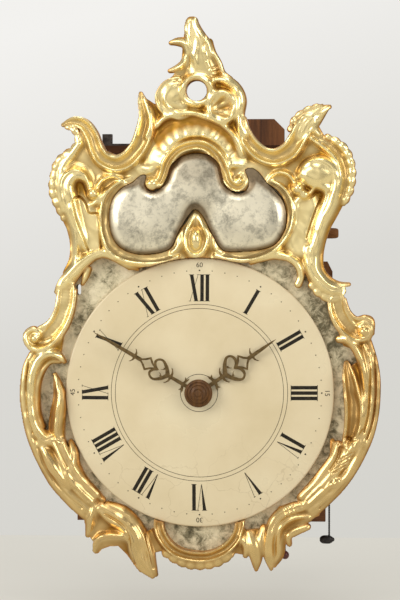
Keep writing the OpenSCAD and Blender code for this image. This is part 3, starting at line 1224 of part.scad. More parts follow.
module music_fly() {
    color(brass) union() {
        on_cross(second_wheel_x, music_fly_y, music_fly_z)
            lantern(small_leaves, train_module, fly_gap_dir + 180);
        on_cross(left_cheek_x + cheek_t + 1.5, music_fly_y, music_fly_z)
            translate([-11, -0.4, 0]) cube([22, 0.8, 9]);
        cross_arbor(left_cheek_x + cheek_t, middle_cheek_x, music_fly_y, music_fly_z);
    }
}

module bell_rod() {
    color(iron) on_cross(middle_cheek_x, bell_rod_y, bell_rod_z)
        cylinder(r = rod_r, h = right_cheek_x + cheek_t - middle_cheek_x);
}

module hammer_rod() {
    color(iron) on_cross(middle_cheek_x, hammer_rod_y, hammer_rod_z)
        cylinder(r = rod_r, h = right_cheek_x + cheek_t - middle_cheek_x);
}

module music_bells() {
    color(brass) for (i = [0 : tunes - 1])
        on_cross(hammer_x(i) - 8, bell_rod_y, bell_rod_z) bell(music_bell_r - i * bell_step, 11, rod_r);
}

// A hammer on its rod: a tail towards the barrel and a head just behind the bell's mouth
module music_hammer(i) {
    r = music_bell_r - i * bell_step;
    head_z = bell_rod_z - r - hammer_head_r - 1.5 - hammer_rod_z;
    head_y = bell_rod_y + 4 - hammer_rod_y;
    reach = barrel_r + barrel_pin_h + 1.3;
    drop = barrel_z - hammer_rod_z - 1.5;
    tail_y = barrel_y - sqrt(reach * reach - drop * drop) - hammer_rod_y;
    color(iron) translate([hammer_x(i), hammer_rod_y, dial_z + hammer_rod_z])
        rotate([0, 90, 0]) difference() {
        union() {
            translate([0, 0, -2]) cylinder(r = 4, h = 4);
            translate([-1.5, 0, -1]) cube([2.5, tail_y, 2]);
            linear_extrude(2, center = true) polygon([[-2, -3], [2, -3], [1.5 - head_z, head_y - 1],
                [-1.5 - head_z, head_y + 2]]);
            translate([-head_z, head_y, -3]) cylinder(r = hammer_head_r, h = 6);
        }
        cylinder(r = rod_r + run_fit, h = 20, center = true);
    }
}

module music_hammer_1() { music_hammer(0); }
module music_hammer_2() { music_hammer(1); }
module music_hammer_3() { music_hammer(2); }
module music_hammer_4() { music_hammer(3); }

// A flat lever on its stud with a wire eye at its right end
module pull_lever(at, y0, arm) {
    on_arbor(at, y0) difference() {
        union() {
            cylinder(r = 5, h = lever_t);
            translate([0, -2.5, 0]) cube([arm, 5, lever_t]);
            translate([arm, 0, 0]) cylinder(r = 3.2, h = lever_t);
        }
        translate([0, 0, -1]) cylinder(r = lever_pin_r + run_fit, h = lever_t + 2);
        translate([arm, 0, -1]) cylinder(r = eye_r, h = lever_t + 2);
    }
}

module repeat_lever() {
    color(iron) pull_lever(repeat_at, repeat_y, repeat_arm);
}

module release_lever() {
    color(iron) pull_lever(release_at, release_y, release_arm);
}

// A cord that hangs straight: rings of 8 sides along its route
function ring(p, r) = [for (k = [0 : 7]) [p.x + r * cos(k * 45), p.y + r * sin(k * 45), p.z]];
module hanging_cord(top, length) {
    rings = 16;
    verts = [for (i = [0 : rings]) each ring([top.x, top.y, top.z - length * i / rings], cord_r)];
    skin = [for (i = [0 : rings - 1]) for (k = [0 : 7])
        let (a = i * 8 + k, b = i * 8 + (k + 1) % 8) each [[a, b + 8, b], [a, a + 8, b + 8]]];
    polyhedron(verts, concat(skin, [[for (k = [0 : 7]) k]], [[for (k = [7 : -1 : 0]) rings * 8 + k]]));
}

repeat_cord_top = [repeat_at.x + repeat_arm, repeat_y - lever_t / 2, dial_z + repeat_at.y - 3.5];
release_cord_top = [release_at.x + release_arm, release_y - lever_t / 2, dial_z + release_at.y - 3.5];

module repeat_cord() {
    color("black") hanging_cord(repeat_cord_top, repeat_cord_len);
}

module release_cord() {
    color("black") hanging_cord(release_cord_top, release_cord_len);
}

module repeat_toggle() {
    color("black") translate(repeat_cord_top - [toggle_len * 0.64, 0, repeat_cord_len + toggle_r * 0.97])
        rotate([0, 90, 0]) rotate_extrude() polygon([[0, 0], [toggle_r * 0.6, 0.6], [toggle_r, 3],
            [toggle_r, toggle_len * 0.7], [toggle_r * 0.45, toggle_len - 1], [0, toggle_len]]);
}

module release_ball() {
    color("maroon") translate(release_cord_top - [0, 0, release_cord_len]) union() {
        translate([0, 0, -ball_r]) sphere(r = ball_r);
        translate([0, 0, -2]) cylinder(r = 1.6, h = 2);
    }
}

shield_board();
crest_carving();
left_wing();
right_wing();
left_border();
right_border();
apron_carving();
silver_cartouche();
palmette();
dial_plate();
hub_boss();
minute_hand();
hour_hand();
minute_tube();
hour_wheel();
motion_wheel();
back_board();
top_board();
bottom_board();
corner_posts();
front_plate();
middle_plate();
rear_plate();
music_deck();
shield_battens();
left_door();
right_door();
door_knob();
silence_slide();
slide_staples();
great_wheel();
centre_wheel();
third_wheel();
escape_wheel();
anchor();
pendulum();
strike_great_wheel();
pin_wheel();
warning_wheel();
strike_fly();
hour_hammer();
hour_bell();
music_cheeks();
pin_barrel();
music_great_wheel();
music_second_wheel();
music_fly();
bell_rod();
music_bells();
hammer_rod();
music_hammer_1();
music_hammer_2();
music_hammer_3();
music_hammer_4();
repeat_lever();
repeat_cord();
repeat_toggle();
release_lever();
release_cord();
release_ball();
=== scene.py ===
import bpy
import numpy as np
from math import cos, pi, radians, sin
from mathutils import Matrix, Vector


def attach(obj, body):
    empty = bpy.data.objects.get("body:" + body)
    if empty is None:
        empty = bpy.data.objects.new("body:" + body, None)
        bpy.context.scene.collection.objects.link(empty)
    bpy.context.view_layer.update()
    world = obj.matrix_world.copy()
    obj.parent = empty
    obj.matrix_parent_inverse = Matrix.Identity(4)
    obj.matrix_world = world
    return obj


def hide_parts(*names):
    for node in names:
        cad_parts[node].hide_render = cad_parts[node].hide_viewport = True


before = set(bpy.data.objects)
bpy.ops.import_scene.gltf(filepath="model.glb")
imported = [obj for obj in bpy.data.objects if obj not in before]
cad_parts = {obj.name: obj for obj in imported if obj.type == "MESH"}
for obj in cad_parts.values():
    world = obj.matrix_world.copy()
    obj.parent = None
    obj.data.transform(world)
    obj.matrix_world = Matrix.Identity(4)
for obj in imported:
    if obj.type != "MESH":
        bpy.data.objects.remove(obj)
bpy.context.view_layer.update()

# The view
# A long lens a little to the right of the clock and about level with the top of its dial.
# The clock hangs in plain soft light, with a pale floor below it.
mm = 0.001
dial_z = -246 * mm
target = Vector((0.9 * mm, -178 * mm, dial_z + 86.5 * mm))
view_distance, seen_height, sensor = 2.3, 0.558, 36
view_side, view_up = radians(4), radians(1)


def placed(name, data):
    """A new object in the scene."""
    made = bpy.data.objects.new(name, data)
    bpy.context.collection.objects.link(made)
    return made


def aimed(name, data, place):
    """A camera or lamp that looks at the clock."""
    made = placed(name, data)
    made.location = place
    made.rotation_euler = (target - made.location).to_track_quat("-Z", "Y").to_euler()
    return made


camera_data = bpy.data.cameras.new("camera")
camera_data.sensor_width = sensor
camera_data.lens = sensor * view_distance / seen_height
way_back = Vector((sin(view_side) * cos(view_up), -cos(view_side) * cos(view_up), sin(view_up)))
bpy.context.scene.camera = aimed("camera", camera_data, target + view_distance * way_back)
bpy.context.scene.view_settings.view_transform = "Standard"
for name, place, size, power in (
        ("lamp_left", (-1.6, -1.5, 0.6), 1.2, 28),
        ("lamp_right", (1.7, -1.4, 0.5), 1.0, 17),
        ("lamp_above", (0.1, -0.9, 1.6), 0.8, 8)):
    lamp = bpy.data.lights.new(name, "AREA")
    lamp.shape, lamp.size, lamp.energy = "SQUARE", size, power
    aimed(name, lamp, place)


def put(tree, socket, value):
    """Links an output to an input, or sets the input's own value."""
    if isinstance(value, bpy.types.NodeSocket):
        tree.links.new(value, socket)
    else:
        socket.default_value = value


def feed(tree, made, **values):
    """Fills a node's inputs, with _ for a space in their names, or sets its properties."""
    for key, value in values.items():
        name = key.replace("_", " ")
        if name in made.inputs:
            put(tree, made.inputs[name], value)
        else:
            setattr(made, key, value)
    return made


def node(tree, kind, **values):
    return feed(tree, tree.nodes.new(kind), **values)


def maths(tree, operation, *values, clamp=False):
    made = node(tree, "ShaderNodeMath", operation=operation, use_clamp=clamp)
    for socket, value in zip(made.inputs, values):
        put(tree, socket, value)
    return made.outputs[0]


def span(tree, value, low, high, to_low=0.0, to_high=1.0):
    """A value carried from one range to another and kept inside it."""
    return node(tree, "ShaderNodeMapRange", Value=value, From_Min=low, From_Max=high,
        To_Min=to_low, To_Max=to_high).outputs[0]


def noise(tree, place, scale, detail, roughness=0.5, distortion=0.0):
    return node(tree, "ShaderNodeTexNoise", Vector=place, Scale=scale, Detail=detail,
        Roughness=roughness, Distortion=distortion).outputs["Fac"]


def mixed(tree, factor, first, second, blend="MIX"):
    """Two colours mixed."""
    made = node(tree, "ShaderNodeMix", data_type="RGBA", blend_type=blend, Factor=factor)
    put(tree, made.inputs[6], first)
    put(tree, made.inputs[7], second)
    return made.outputs[2]


def scaled(tree, colour, factor):
    """A colour or vector times a number."""
    made = node(tree, "ShaderNodeVectorMath", operation="SCALE", Scale=factor)
    put(tree, made.inputs[0], colour)
    return made.outputs[0]


def bump(tree, height, strength, depth):
    return node(tree, "ShaderNodeBump", Height=height, Strength=strength, Distance=depth).outputs["Normal"]


def axes(tree, place):
    """The X, Y and Z of a place."""
    return node(tree, "ShaderNodeSeparateXYZ", Vector=place).outputs


def ramp(tree, factor, stops):
    """A colour ramp fed by factor, with stops as (place, colour or grey)."""
    made = node(tree, "ShaderNodeValToRGB", Fac=factor)
    band = made.color_ramp
    while len(band.elements) < len(stops):
        band.elements.new(0.5)
    for element, (place, colour) in zip(band.elements, stops):
        element.position = place
        element.color = (*colour, 1) if isinstance(colour, tuple) else (colour, colour, colour, 1)
    return made.outputs["Color"]


def new_group(name, kind, inputs, outputs):
    """A node group with its sockets, what comes in and the node for what goes out."""
    group = bpy.data.node_groups.new(name, kind)
    for way, sockets in (("INPUT", inputs), ("OUTPUT", outputs)):
        for socket, sort in sockets.items():
            group.interface.new_socket(name=socket, in_out=way, socket_type="NodeSocket" + sort)
    return group, node(group, "NodeGroupInput").outputs, node(group, "NodeGroupOutput")


world = bpy.data.worlds.new("studio")
bpy.context.scene.world = world
world.use_nodes = True
tree = world.node_tree
tree.nodes.clear()
x, y, z = axes(tree, node(tree, "ShaderNodeTexCoord").outputs["Generated"])
# Behind the clock the camera sees a backdrop with painted light: lighter towards the top and the left.
seen = ramp(tree, span(tree, maths(tree, "MULTIPLY_ADD", x, -0.30, z), -0.13, 0.13),
    [(0.0, (0.655, 0.645, 0.60)), (0.5, (0.705, 0.695, 0.66)), (1.0, (0.895, 0.885, 0.86))])
tall = ramp(tree, span(tree, z, -1, 1), [(0.0, (0.40, 0.385, 0.35)), (0.38, (0.44, 0.43, 0.40)),
    (0.47, (0.64, 0.63, 0.61)), (0.53, (0.86, 0.86, 0.85)), (0.64, 0.74), (0.8, 0.5), (1.0, 0.9)])
wide = ramp(tree, span(tree, x, -1, 1), [(0.0, 0.9), (0.12, 0.55), (0.27, 0.45), (0.38, 1.0), (0.45, 1.35),
    (0.55, 1.25), (0.63, 0.75), (0.74, 0.40), (0.9, 0.42), (1.0, 0.8)])
camera_ray = node(tree, "ShaderNodeLightPath").outputs["Is Camera Ray"]
room = mixed(tree, camera_ray, mixed(tree, 1.0, tall, wide, "MULTIPLY"), seen)
glow = node(tree, "ShaderNodeBackground", Color=room)
node(tree, "ShaderNodeOutputWorld", Surface=glow.outputs[0])


def plain_mesh(name, points, faces, body, smooth=None):
    """A mesh piece in metres that rides on a body. smooth is the largest angle that stays soft."""
    data = bpy.data.meshes.new(name)
    data.from_pydata([tuple(p) for p in points], [], [tuple(int(i) for i in f) for f in faces])
    data.update()
    if smooth is not None:
        data.polygons.foreach_set("use_smooth", [True] * len(data.polygons))
        data.set_sharp_from_angle(angle=radians(smooth))
    piece = placed(name, data)
    if body:
        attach(piece, body)
    return piece


def finish_of(name):
    """A new material with its tree, its shader and the place on the object."""
    material = bpy.data.materials.new(name)
    material.use_nodes = True
    tree = material.node_tree
    return material, tree, tree.nodes["Principled BSDF"], node(tree, "ShaderNodeTexCoord").outputs["Object"]


def finished(piece, material, replaced=None):
    """Gives a made piece its material and hides the CAD node that it stands for."""
    piece.data.materials.append(material)
    if replaced:
        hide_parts(replaced)


floor_half, floor_back, floor_z = 1.5, 0.44, -0.450
floor = plain_mesh("floor", [(-floor_half, -floor_half, floor_z), (floor_half, -floor_half, floor_z),
    (floor_half, floor_back, floor_z), (-floor_half, floor_back, floor_z)], [(0, 1, 2, 3)], None)
# The floor glows faintly: painted light that lifts the shadow under the clock and lights the clock from below.
self_lit_floor, tree, shader, place = finish_of("self_lit_floor")
spots = node(tree, "ShaderNodeTexNoise", Scale=3.0, Detail=2.0).outputs["Fac"]
feed(tree, shader, Base_Color=ramp(tree, spots, [(0.3, (0.20, 0.196, 0.18)), (0.7, (0.22, 0.216, 0.20))]),
    Roughness=0.9, Emission_Color=(0.95, 0.91, 0.80, 1), Emission_Strength=0.50)
floor.data.materials.append(self_lit_floor)

# The two pull cords
# Black two-strand cords of 1.8 mm that hang from the wire eyes of their levers.
# One ends in a turned black toggle, the other in a small dark red ball.
cord_d = 1.8 * mm
repeat_top = (120.5 * mm, -145.5 * mm, dial_z - 63.5 * mm)
release_top = (78 * mm, -119.5 * mm, dial_z - 85.5 * mm)
repeat_length, release_length = 72 * mm, 68 * mm


def twisted_cord(name, top, length, body):
    """A hanging cord of two strands laid together, as one closed tube."""
    ring, rings, lay = 16, 150, 4.2 * mm
    points, faces = [], []
    for i in range(rings + 1):
        turn = 2 * pi * length * i / rings / lay
        for k in range(ring):
            a = 2 * pi * k / ring
            r = cord_d / 2 * (0.80 + 0.20 * abs(cos(a - turn)))
            points.append((top[0] + r * cos(a), top[1] + r * sin(a), top[2] - length * i / rings))
    for i in range(rings):
        for k in range(ring):
            a, b = i * ring + k, i * ring + (k + 1) % ring
            faces.append((b, a, a + ring, b + ring))
    faces += [range(ring), reversed(range(rings * ring, (rings + 1) * ring))]
    return plain_mesh(name, points, faces, body, 60)


def spun(name, outline, start, axis, body, sides=48, smooth=35):
    """A turned solid: outline is (radius, height) in mm from pole to pole, turned about axis at start."""
    turn = Vector((0, 0, 1)).rotation_difference(Vector(axis)).to_matrix()
    points, faces, rows = [], [], []
    for r, h in outline:
        around = sides if r else 1
        rows.append([len(points) + k % around for k in range(sides)])
        for k in range(around):
            a = 2 * pi * k / sides
            points.append(Vector(start) + turn @ Vector((r * mm * cos(a), r * mm * sin(a), h * mm)))
    for low, high in zip(rows[:-1], rows[1:]):
        for k in range(sides):
            loop = [low[k], low[(k + 1) % sides], high[(k + 1) % sides], high[k]]
            face = [v for i, v in enumerate(loop) if v not in loop[:i]]
            if len(face) > 2:
                faces.append(face)
    return plain_mesh(name, points, faces, body, smooth)


cord_black, tree, shader, place = finish_of("cord_black")
fuzz = noise(tree, place, 2600.0, 3.0)
feed(tree, shader, Base_Color=ramp(tree, fuzz, [(0.35, (0.012, 0.010, 0.009)), (0.7, (0.06, 0.05, 0.042))]),
    Roughness=0.85, Normal=bump(tree, fuzz, 0.5, 0.0002))
repeat_line = twisted_cord("pull_cord_right", repeat_top, repeat_length, "repeat_pull")
finished(repeat_line, cord_black, "repeat_cord")
toggle_at = Vector(repeat_top) - Vector((8.96 * mm, 0, repeat_length + 3.88 * mm))
toggle = spun("pull_toggle", [(0, 0), (1.6, 0.1), (2.6, 0.9), (3.5, 2.2), (3.95, 4), (4, 6), (4, 8.4),
    (3.8, 9.8), (3, 11.2), (2.1, 12.4), (1.7, 13.2), (1.2, 13.8), (0, 14)], toggle_at, (1, 0, 0), "repeat_pull")
black_iron, tree, shader, place = finish_of("black_iron")
pits = noise(tree, place, 420.0, 4.0)
feed(tree, shader, Base_Color=ramp(tree, pits, [(0.3, (0.010, 0.009, 0.009)), (0.75, (0.045, 0.036, 0.03))]),
    Metallic=0.6, Roughness=ramp(tree, pits, [(0.2, 0.35), (0.8, 0.6)]))
finished(toggle, black_iron, "repeat_toggle")

release_line = twisted_cord("pull_cord_inner", release_top, release_length, "release_pull")
finished(release_line, cord_black, "release_cord")
ball_r = 4
ball_at = Vector(release_top) - Vector((0, 0, release_length + ball_r * mm))
ball = spun("pull_ball", [(0, -ball_r)]
    + [(ball_r * sin(pi * i / 20), -ball_r * cos(pi * i / 20)) for i in range(1, 18)]
    + [(1.7, 3.75), (1.55, 4), (0, 4)], ball_at, (0, 0, 1), "release_pull")
red_turned, tree, shader, place = finish_of("red_turned_wood")
worn = noise(tree, place, 500.0, 4.0)
feed(tree, shader, Base_Color=ramp(tree, worn, [(0.35, (0.06, 0.010, 0.006)), (0.7, (0.16, 0.03, 0.018))]),
    Roughness=0.38)
finished(ball, red_turned, "release_ball")

# The shield board
# A sawn softwood board behind the carving. Its face carries tarnished silver leaf, which shows
# between the dial and the carved border. Its edges and back are stained dark.
face_y = -166 * mm


def grain_group():
    """Wood grain that runs along Z."""
    group, given, end = new_group("wood_grain", "ShaderNodeTree",
        {"Vector": "Vector", "Dark": "Color", "Light": "Color", "Fineness": "Float"},
        {"Color": "Color", "Height": "Float", "Roughness": "Float"})
    drawn = node(group, "ShaderNodeMapping", Vector=given["Vector"], Scale=(1.0, 1.0, 0.07)).outputs[0]
    drawn = scaled(group, drawn, given["Fineness"])
    broad = noise(group, drawn, 0.35, 3.0, distortion=0.8)
    fine = noise(group, drawn, 2.2, 6.0, 0.65)
    streak = maths(group, "MULTIPLY_ADD", fine, 0.55, maths(group, "MULTIPLY", broad, 0.6))
    feed(group, end, Color=mixed(group, span(group, streak, 0.38, 0.76), given["Dark"], given["Light"]),
        Height=fine, Roughness=span(group, fine, 0, 1, 0.75, 0.5))
    return group


wood_grain = grain_group()


def wood_finish(name, dark, light, fineness=260.0, turn=0.0):
    """A wooden surface with its grain along Z, or turned about Y with its board."""
    material, tree, shader, place = finish_of(name)
    grain = node(tree, "ShaderNodeGroup", node_tree=wood_grain)
    feed(tree, grain, Vector=node(tree, "ShaderNodeMapping", Vector=place, Rotation=(0, turn, 0)).outputs[0],
        Dark=(*dark, 1), Light=(*light, 1), Fineness=fineness)
    made = grain.outputs
    feed(tree, shader, Base_Color=made["Color"], Roughness=made["Roughness"], Specular_IOR_Level=0.3,
        Normal=bump(tree, made["Height"], 0.35, 0.0004))
    return material, tree, shader, place, made["Color"]


def dress(material, *names):
    """Gives CAD nodes their material."""
    for name in names:
        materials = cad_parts[name].data.materials
        materials.clear()
        materials.append(material)


shield_finish, tree, shader, place, wood = wood_finish("shield_silvered",
    (0.045, 0.022, 0.012), (0.13, 0.065, 0.035))
x, y, z = axes(tree, place)
front_side = maths(tree, "LESS_THAN", y, face_y + 0.3 * mm)
cloud = maths(tree, "MULTIPLY", noise(tree, place, 22.0, 3.0, distortion=1.2), 0.42)
blot = maths(tree, "MULTIPLY_ADD", noise(tree, place, 110.0, 9.0, 0.78, 0.5), 0.75, cloud)
# The silver is mottled with tarnish and grows darker towards the right side of the board.
silver_tone = ramp(tree, maths(tree, "MULTIPLY_ADD", x, -0.2, blot), [(0.42, (0.085, 0.072, 0.038)),
    (0.505, (0.21, 0.18, 0.10)), (0.555, (0.46, 0.40, 0.255)), (0.62, (0.66, 0.58, 0.38)),
    (0.74, (0.82, 0.73, 0.52))])
feed(tree, shader, Base_Color=mixed(tree, front_side, wood, silver_tone),
    Metallic=maths(tree, "MULTIPLY", front_side, 0.25))
dress(shield_finish, "shield_board")

# The gilded carving
# Seven blocks of carved limewood on the shield board: broad scrolls, leaves and shells that flow into
# each other, gessoed, covered with red bole and water gilded, and worn at the outer edges.
# All numbers of the carving are in mm from the middle of the dial.
pitch = 0.56
grid_x = np.arange(-171, 171.5, pitch)
grid_y = np.arange(-177, 351.5, pitch)
GX, GY = np.meshgrid(grid_x, grid_y)
relief, bed, cut, fringe = (np.zeros_like(GX) for _ in range(4))
reach = np.full_like(GX, 20.0)
reach_edge = 2.2
melt = 1.3
scallop_pitch, scallop_depth = 8.6, 1.3


def smooth_line(points, step=1.3):
    """A dense curve through the given points, as rows of x, y and what follows."""
    p = np.array(points, float)
    rows = []
    for i in range(len(p) - 1):
        a, b, c, d = p[max(0, i - 1)], p[i], p[i + 1], p[min(len(p) - 1, i + 2)]
        n = max(2, int(np.hypot(*(c - b)[:2]) / step))
        for t in np.arange(n) / n:
            rows.append(0.5 * (2 * b + (c - a) * t + (2 * a - 5 * b + 4 * c - d) * t * t
                + (3 * b - a - 3 * c + d) * t ** 3))
    rows.append(p[-1])
    return np.array(rows)


def window(x0, x1, y0, y1):
    """The part of the carving's grid between two corners."""
    i0, i1 = np.searchsorted(grid_x, [x0, x1])
    j0, j1 = np.searchsorted(grid_y, [y0, y1])
    return slice(max(0, j0 - 1), j1 + 1), slice(max(0, i0 - 1), i1 + 1)


def bead(v, middle, half):
    """A half-round across v."""
    return np.sqrt(np.clip(1 - ((v - middle) / half) ** 2, 0, 1))


def cross_section(style, u, s, w):
    """Height across a rib: u is -1 to 1 and positive on the left, s runs along it and w is its width."""
    a = np.abs(u)
    swell = 0.58 * bead(a, 0, 1)
    if style == "hollow":
        return np.where(a < 0.70, 0.58 + 0.42 * (a / 0.70) ** 2.6, 0.45 + 0.55 * bead(a, 0.70, 0.30))
    if style in ("rim_left", "rim_right"):
        v = (1 + (u if style == "rim_left" else -u)) / 2
        cove = np.where(v < 0.62, 0.50 + 0.34 * np.clip(v / 0.62, 0, 1) ** 2, 0.45)
        return np.maximum(cove, np.where(np.abs(v - 0.76) < 0.24, 0.45 + 0.55 * bead(v, 0.76, 0.24), 0))
    if style == "leaf":
        return 0.42 + swell * (1 - 0.26 * np.exp(-(a / 0.17) ** 2))
    if style == "flute":
        return 0.42 + swell * (0.89 + 0.11 * np.cos(2 * pi * np.maximum(1.0, w / 6.5) * u))
    if style == "hatch":
        cuts = 0.11 * np.cos(2 * pi * s / 3.0) * np.clip(2.2 - 2.6 * a, 0, 1)
        return 0.56 + 0.10 * a ** 2 + cuts + np.where(a > 0.74, 0.34 * bead(a, 0.87, 0.13), 0)
    if style == "scallop":
        return 0.42 + swell * (0.74 + 0.26 * np.abs(np.cos(pi * s / scallop_pitch)))
    if style == "ridge":
        return 0.40 + 0.60 * (1 - a) ** 0.9
    return 0.42 + swell


def trace(points, margin):
    """Follows a line over the grid. Gives the gap to its edge, and what each near point sees of it."""
    line = smooth_line(points)
    widest = line[:, 2].max() / 2 + margin
    js, is_ = window(line[:, 0].min() - widest, line[:, 0].max() + widest,
        line[:, 1].min() - widest, line[:, 1].max() + widest)
    X, Y = GX[js, is_], GY[js, is_]
    near = np.full_like(X, 1e9)
    U, S, W, H = (np.zeros_like(X) for _ in range(4))
    travelled = 0.0
    for p, q in zip(line[:-1], line[1:]):
        d = q[:2] - p[:2]
        length = np.hypot(*d)
        if length < 1e-6:
            continue
        r = max(p[2], q[2]) / 2 + margin + length
        box = (np.abs(X - (p[0] + q[0]) / 2) < r) & (np.abs(Y - (p[1] + q[1]) / 2) < r)
        if box.any():
            x, y = X[box] - p[0], Y[box] - p[1]
            t = np.clip((x * d[0] + y * d[1]) / length ** 2, 0, 1)
            away = np.hypot(x - t * d[0], y - t * d[1])
            side = np.sign(d[0] * y - d[1] * x)
            half = np.maximum((p[2] + (q[2] - p[2]) * t) / 2, 0.3)
            better = away - half < near[box]
            jj, ii = np.argwhere(box)[better].T
            for field, value in ((near, away - half), (U, side * away / half), (S, travelled + t * length),
                    (W, 2 * half), (H, p[3] + (q[3] - p[3]) * t)):
                field[jj, ii] = value[better]
        travelled += length
    return js, is_, near, U, S, W, H


def rib(style, points):
    """Lays one carved form on the grid: points are x, y, width and height."""
    js, is_, near, U, S, W, H = trace(points, reach_edge)
    if style == "scallop":
        dip = scallop_depth * (1 - np.abs(np.cos(pi * S / scallop_pitch)))
        near = np.where(near < 1e8, near + dip, near)
    shape = H * cross_section(style, np.clip(U, -1, 1), S, np.maximum(W, 1))
    old = relief[js, is_]
    both = np.maximum(melt - np.abs(old - shape), 0) / melt
    melted = np.maximum(old, shape) + np.where(old > 0, both ** 2 * melt / 4, 0)
    relief[js, is_] = np.where(near < 0, melted, old)
    fringe[js, is_] = np.maximum(fringe[js, is_], np.where(near < reach_edge, shape, 0))
    reach[js, is_] = np.minimum(reach[js, is_], np.where(near < 1e8, near, 20))


def crease(*grooves, width=1.8, depth=2.0):
    """Cuts narrow grooves along lines of x, y points."""
    for points in grooves:
        js, is_, near, *_ = trace([(x, y, width, depth) for x, y in points], 1.5)
        away = np.clip(near + width / 2, 0, 99)
        deep = np.where(near < 1e8, depth * np.exp(-(away / (width * 0.55)) ** 2), 0)
        cut[js, is_] = np.maximum(cut[js, is_], deep)


def area_distance(points, X, Y):
    """Signed distance to a closed outline, negative inside."""
    p = np.array(points, float)
    q = np.roll(p, -1, axis=0)
    best = np.full_like(X, 1e9)
    inside = np.zeros(X.shape, bool)
    for (x0, y0), (x1, y1) in zip(p, q):
        dx, dy = x1 - x0, y1 - y0
        t = np.clip(((X - x0) * dx + (Y - y0) * dy) / max(1e-9, dx * dx + dy * dy), 0, 1)
        best = np.minimum(best, np.hypot(X - x0 - t * dx, Y - y0 - t * dy))
        if y0 != y1:
            inside ^= ((y0 > Y) != (y1 > Y)) & (X < (x1 - x0) * (Y - y0) / (y1 - y0) + x0)
    return np.where(inside, -best, best)


def ground(points, height=7.0):
    """An area of ground between the carved forms."""
    p = np.array(points, float)
    js, is_ = window(p[:, 0].min() - 3, p[:, 0].max() + 3, p[:, 1].min() - 3, p[:, 1].max() + 3)
    d = area_distance(points, GX[js, is_], GY[js, is_])
    bed[js, is_] = np.maximum(bed[js, is_], np.where(d < reach_edge, height, 0))
    fringe[js, is_] = np.maximum(fringe[js, is_], np.where(d < reach_edge, height, 0))
    reach[js, is_] = np.minimum(reach[js, is_], d)


def dome(x, y, rx, ry, low, high, power=0.5):
    """A round or oval boss."""
    js, is_ = window(x - rx, x + rx, y - ry, y + ry)
    f = ((GX[js, is_] - x) / rx) ** 2 + ((GY[js, is_] - y) / ry) ** 2
    swell = low + (high - low) * np.clip(1 - f, 0, 1) ** power
    relief[js, is_] = np.maximum(relief[js, is_], np.where(f < 1, swell, 0))
    fringe[js, is_] = np.maximum(fringe[js, is_], np.where(f < 1.3, low, 0))
    reach[js, is_] = np.minimum(reach[js, is_], (np.sqrt(f) - 1) * min(rx, ry))


# The crest
# The top block of limewood, gilded and glued to the board: a broad flame over a pierced ring, a folded
# leaf on its left, a shell cup on its right, and a cove with short gadroons along the arch's double rim.
ground([(-56, 276), (-52, 276), (-40, 268), (-38, 284), (-26, 294), (-17, 306), (-15, 330), (-12, 342),
    (-2, 347), (4, 336), (11, 326), (13, 314), (20, 298), (32, 291), (42, 280), (43, 266), (40, 250),
    (46, 234), (60, 222), (60, 204), (44, 204), (-44, 204), (-50, 194), (-62, 190), (-62, 226), (-56, 240)])
rib("round", [(-7, 345, 11, 11), (-5, 335, 17, 14), (-1, 323, 23, 15), (1, 311, 26, 14), (3, 301, 30, 12)])
rib("round", [(-4, 347, 5, 13), (-2, 340, 6, 15), (2, 333, 7, 17), (8, 325, 7, 16.5), (11, 314, 5, 15)])
rib("round", [(-10, 345, 6, 13), (-11, 337, 6, 15), (-9, 326, 5, 15.5), (-6, 315, 5, 15),
    (-1, 305, 5, 13.5)])
rib("round", [(-5, 341, 4, 12), (-2, 332, 5, 14.5), (-2, 322, 6, 16.5), (-4, 312, 6, 16), (-2, 303, 6, 14)])
rib("round", [(4, 325, 4, 14), (6, 315, 5, 16), (8, 306, 5, 15), (12, 298, 4, 12.5)])
rib("round", [(10, 327, 5, 12), (13, 317, 5, 13), (18, 308, 5, 13), (22, 298, 5, 12), (29, 292, 5, 12)])
crease([(2, 341), (6, 331), (4, 320), (7, 309)], [(-12, 323), (-9, 312), (-10, 303)], width=1.4, depth=1.1)
rib("ridge", [(-27, 326, 4, 7), (-20, 327, 8, 11), (-13, 325, 10, 14), (-10, 316, 8, 14)])
rib("ridge", [(-28, 300, 4, 7), (-21, 302, 7, 11), (-15, 306, 8, 13), (-12, 314, 6, 12)])
crease([(9, 301), (17, 304)], [(11, 297.5), (19, 300.5)], [(13, 294), (21, 297)], width=1.5, depth=0.9)
rib("hollow", [(-20, 291, 7, 12), (-30, 286, 10, 14), (-36, 275, 11, 15), (-33, 265, 10, 15),
    (-24, 259, 9, 14), (-13, 258, 7, 12), (-5, 261, 4, 9)])
dome(-27, 278, 12, 13, 9, 13.5, 0.7)
rib("round", [(-37, 268, 4, 11), (-30, 262, 5, 12), (-22, 258, 5, 12)])
rib("flute", [(-30, 268, 5, 12), (-23, 269, 10, 13), (-15, 266, 10, 12)])
rib("round", [(-2 + 13 * cos(a), 281.5 + 13 * sin(a), 7.6 + 1.5 * sin(2 * a + 0.6), 15.2 + 1.5 * sin(3 * a))
    for a in np.radians(np.arange(-100, 262, 15))])
rib("round", [(13, 291, 5, 12), (24, 291, 9, 15), (34, 284, 10, 16), (39, 273, 10, 17), (38, 261, 9, 16),
    (38, 250, 8, 15), (42, 240, 8, 15)])
dome(21, 265.5, 15, 17, 9, 16, 0.2)
rib("hollow", [(-128, 250, 4, 8), (-118, 253, 9, 11), (-108, 250, 12, 14), (-101, 241, 13, 15),
    (-97, 230, 14, 16), (-91, 219, 15, 17), (-79, 213, 16, 17), (-67, 217, 17, 17), (-57, 228, 17, 17),
    (-51, 242, 18, 17), (-49, 257, 15, 15), (-53, 271, 9, 12), (-55, 279, 4, 8)])
rib("round", [(-52, 274, 3, 11), (-47, 262, 6, 15), (-45, 250, 6, 17), (-49, 238, 5, 17)])
rib("hollow", [(40, 254, 9, 15), (42, 243, 12, 16), (49, 230, 15, 17), (60, 221, 16, 17), (72, 219, 17, 17),
    (84, 225, 18, 17), (91, 235, 18, 17), (96, 244, 19, 16), (101, 251, 18, 15)])
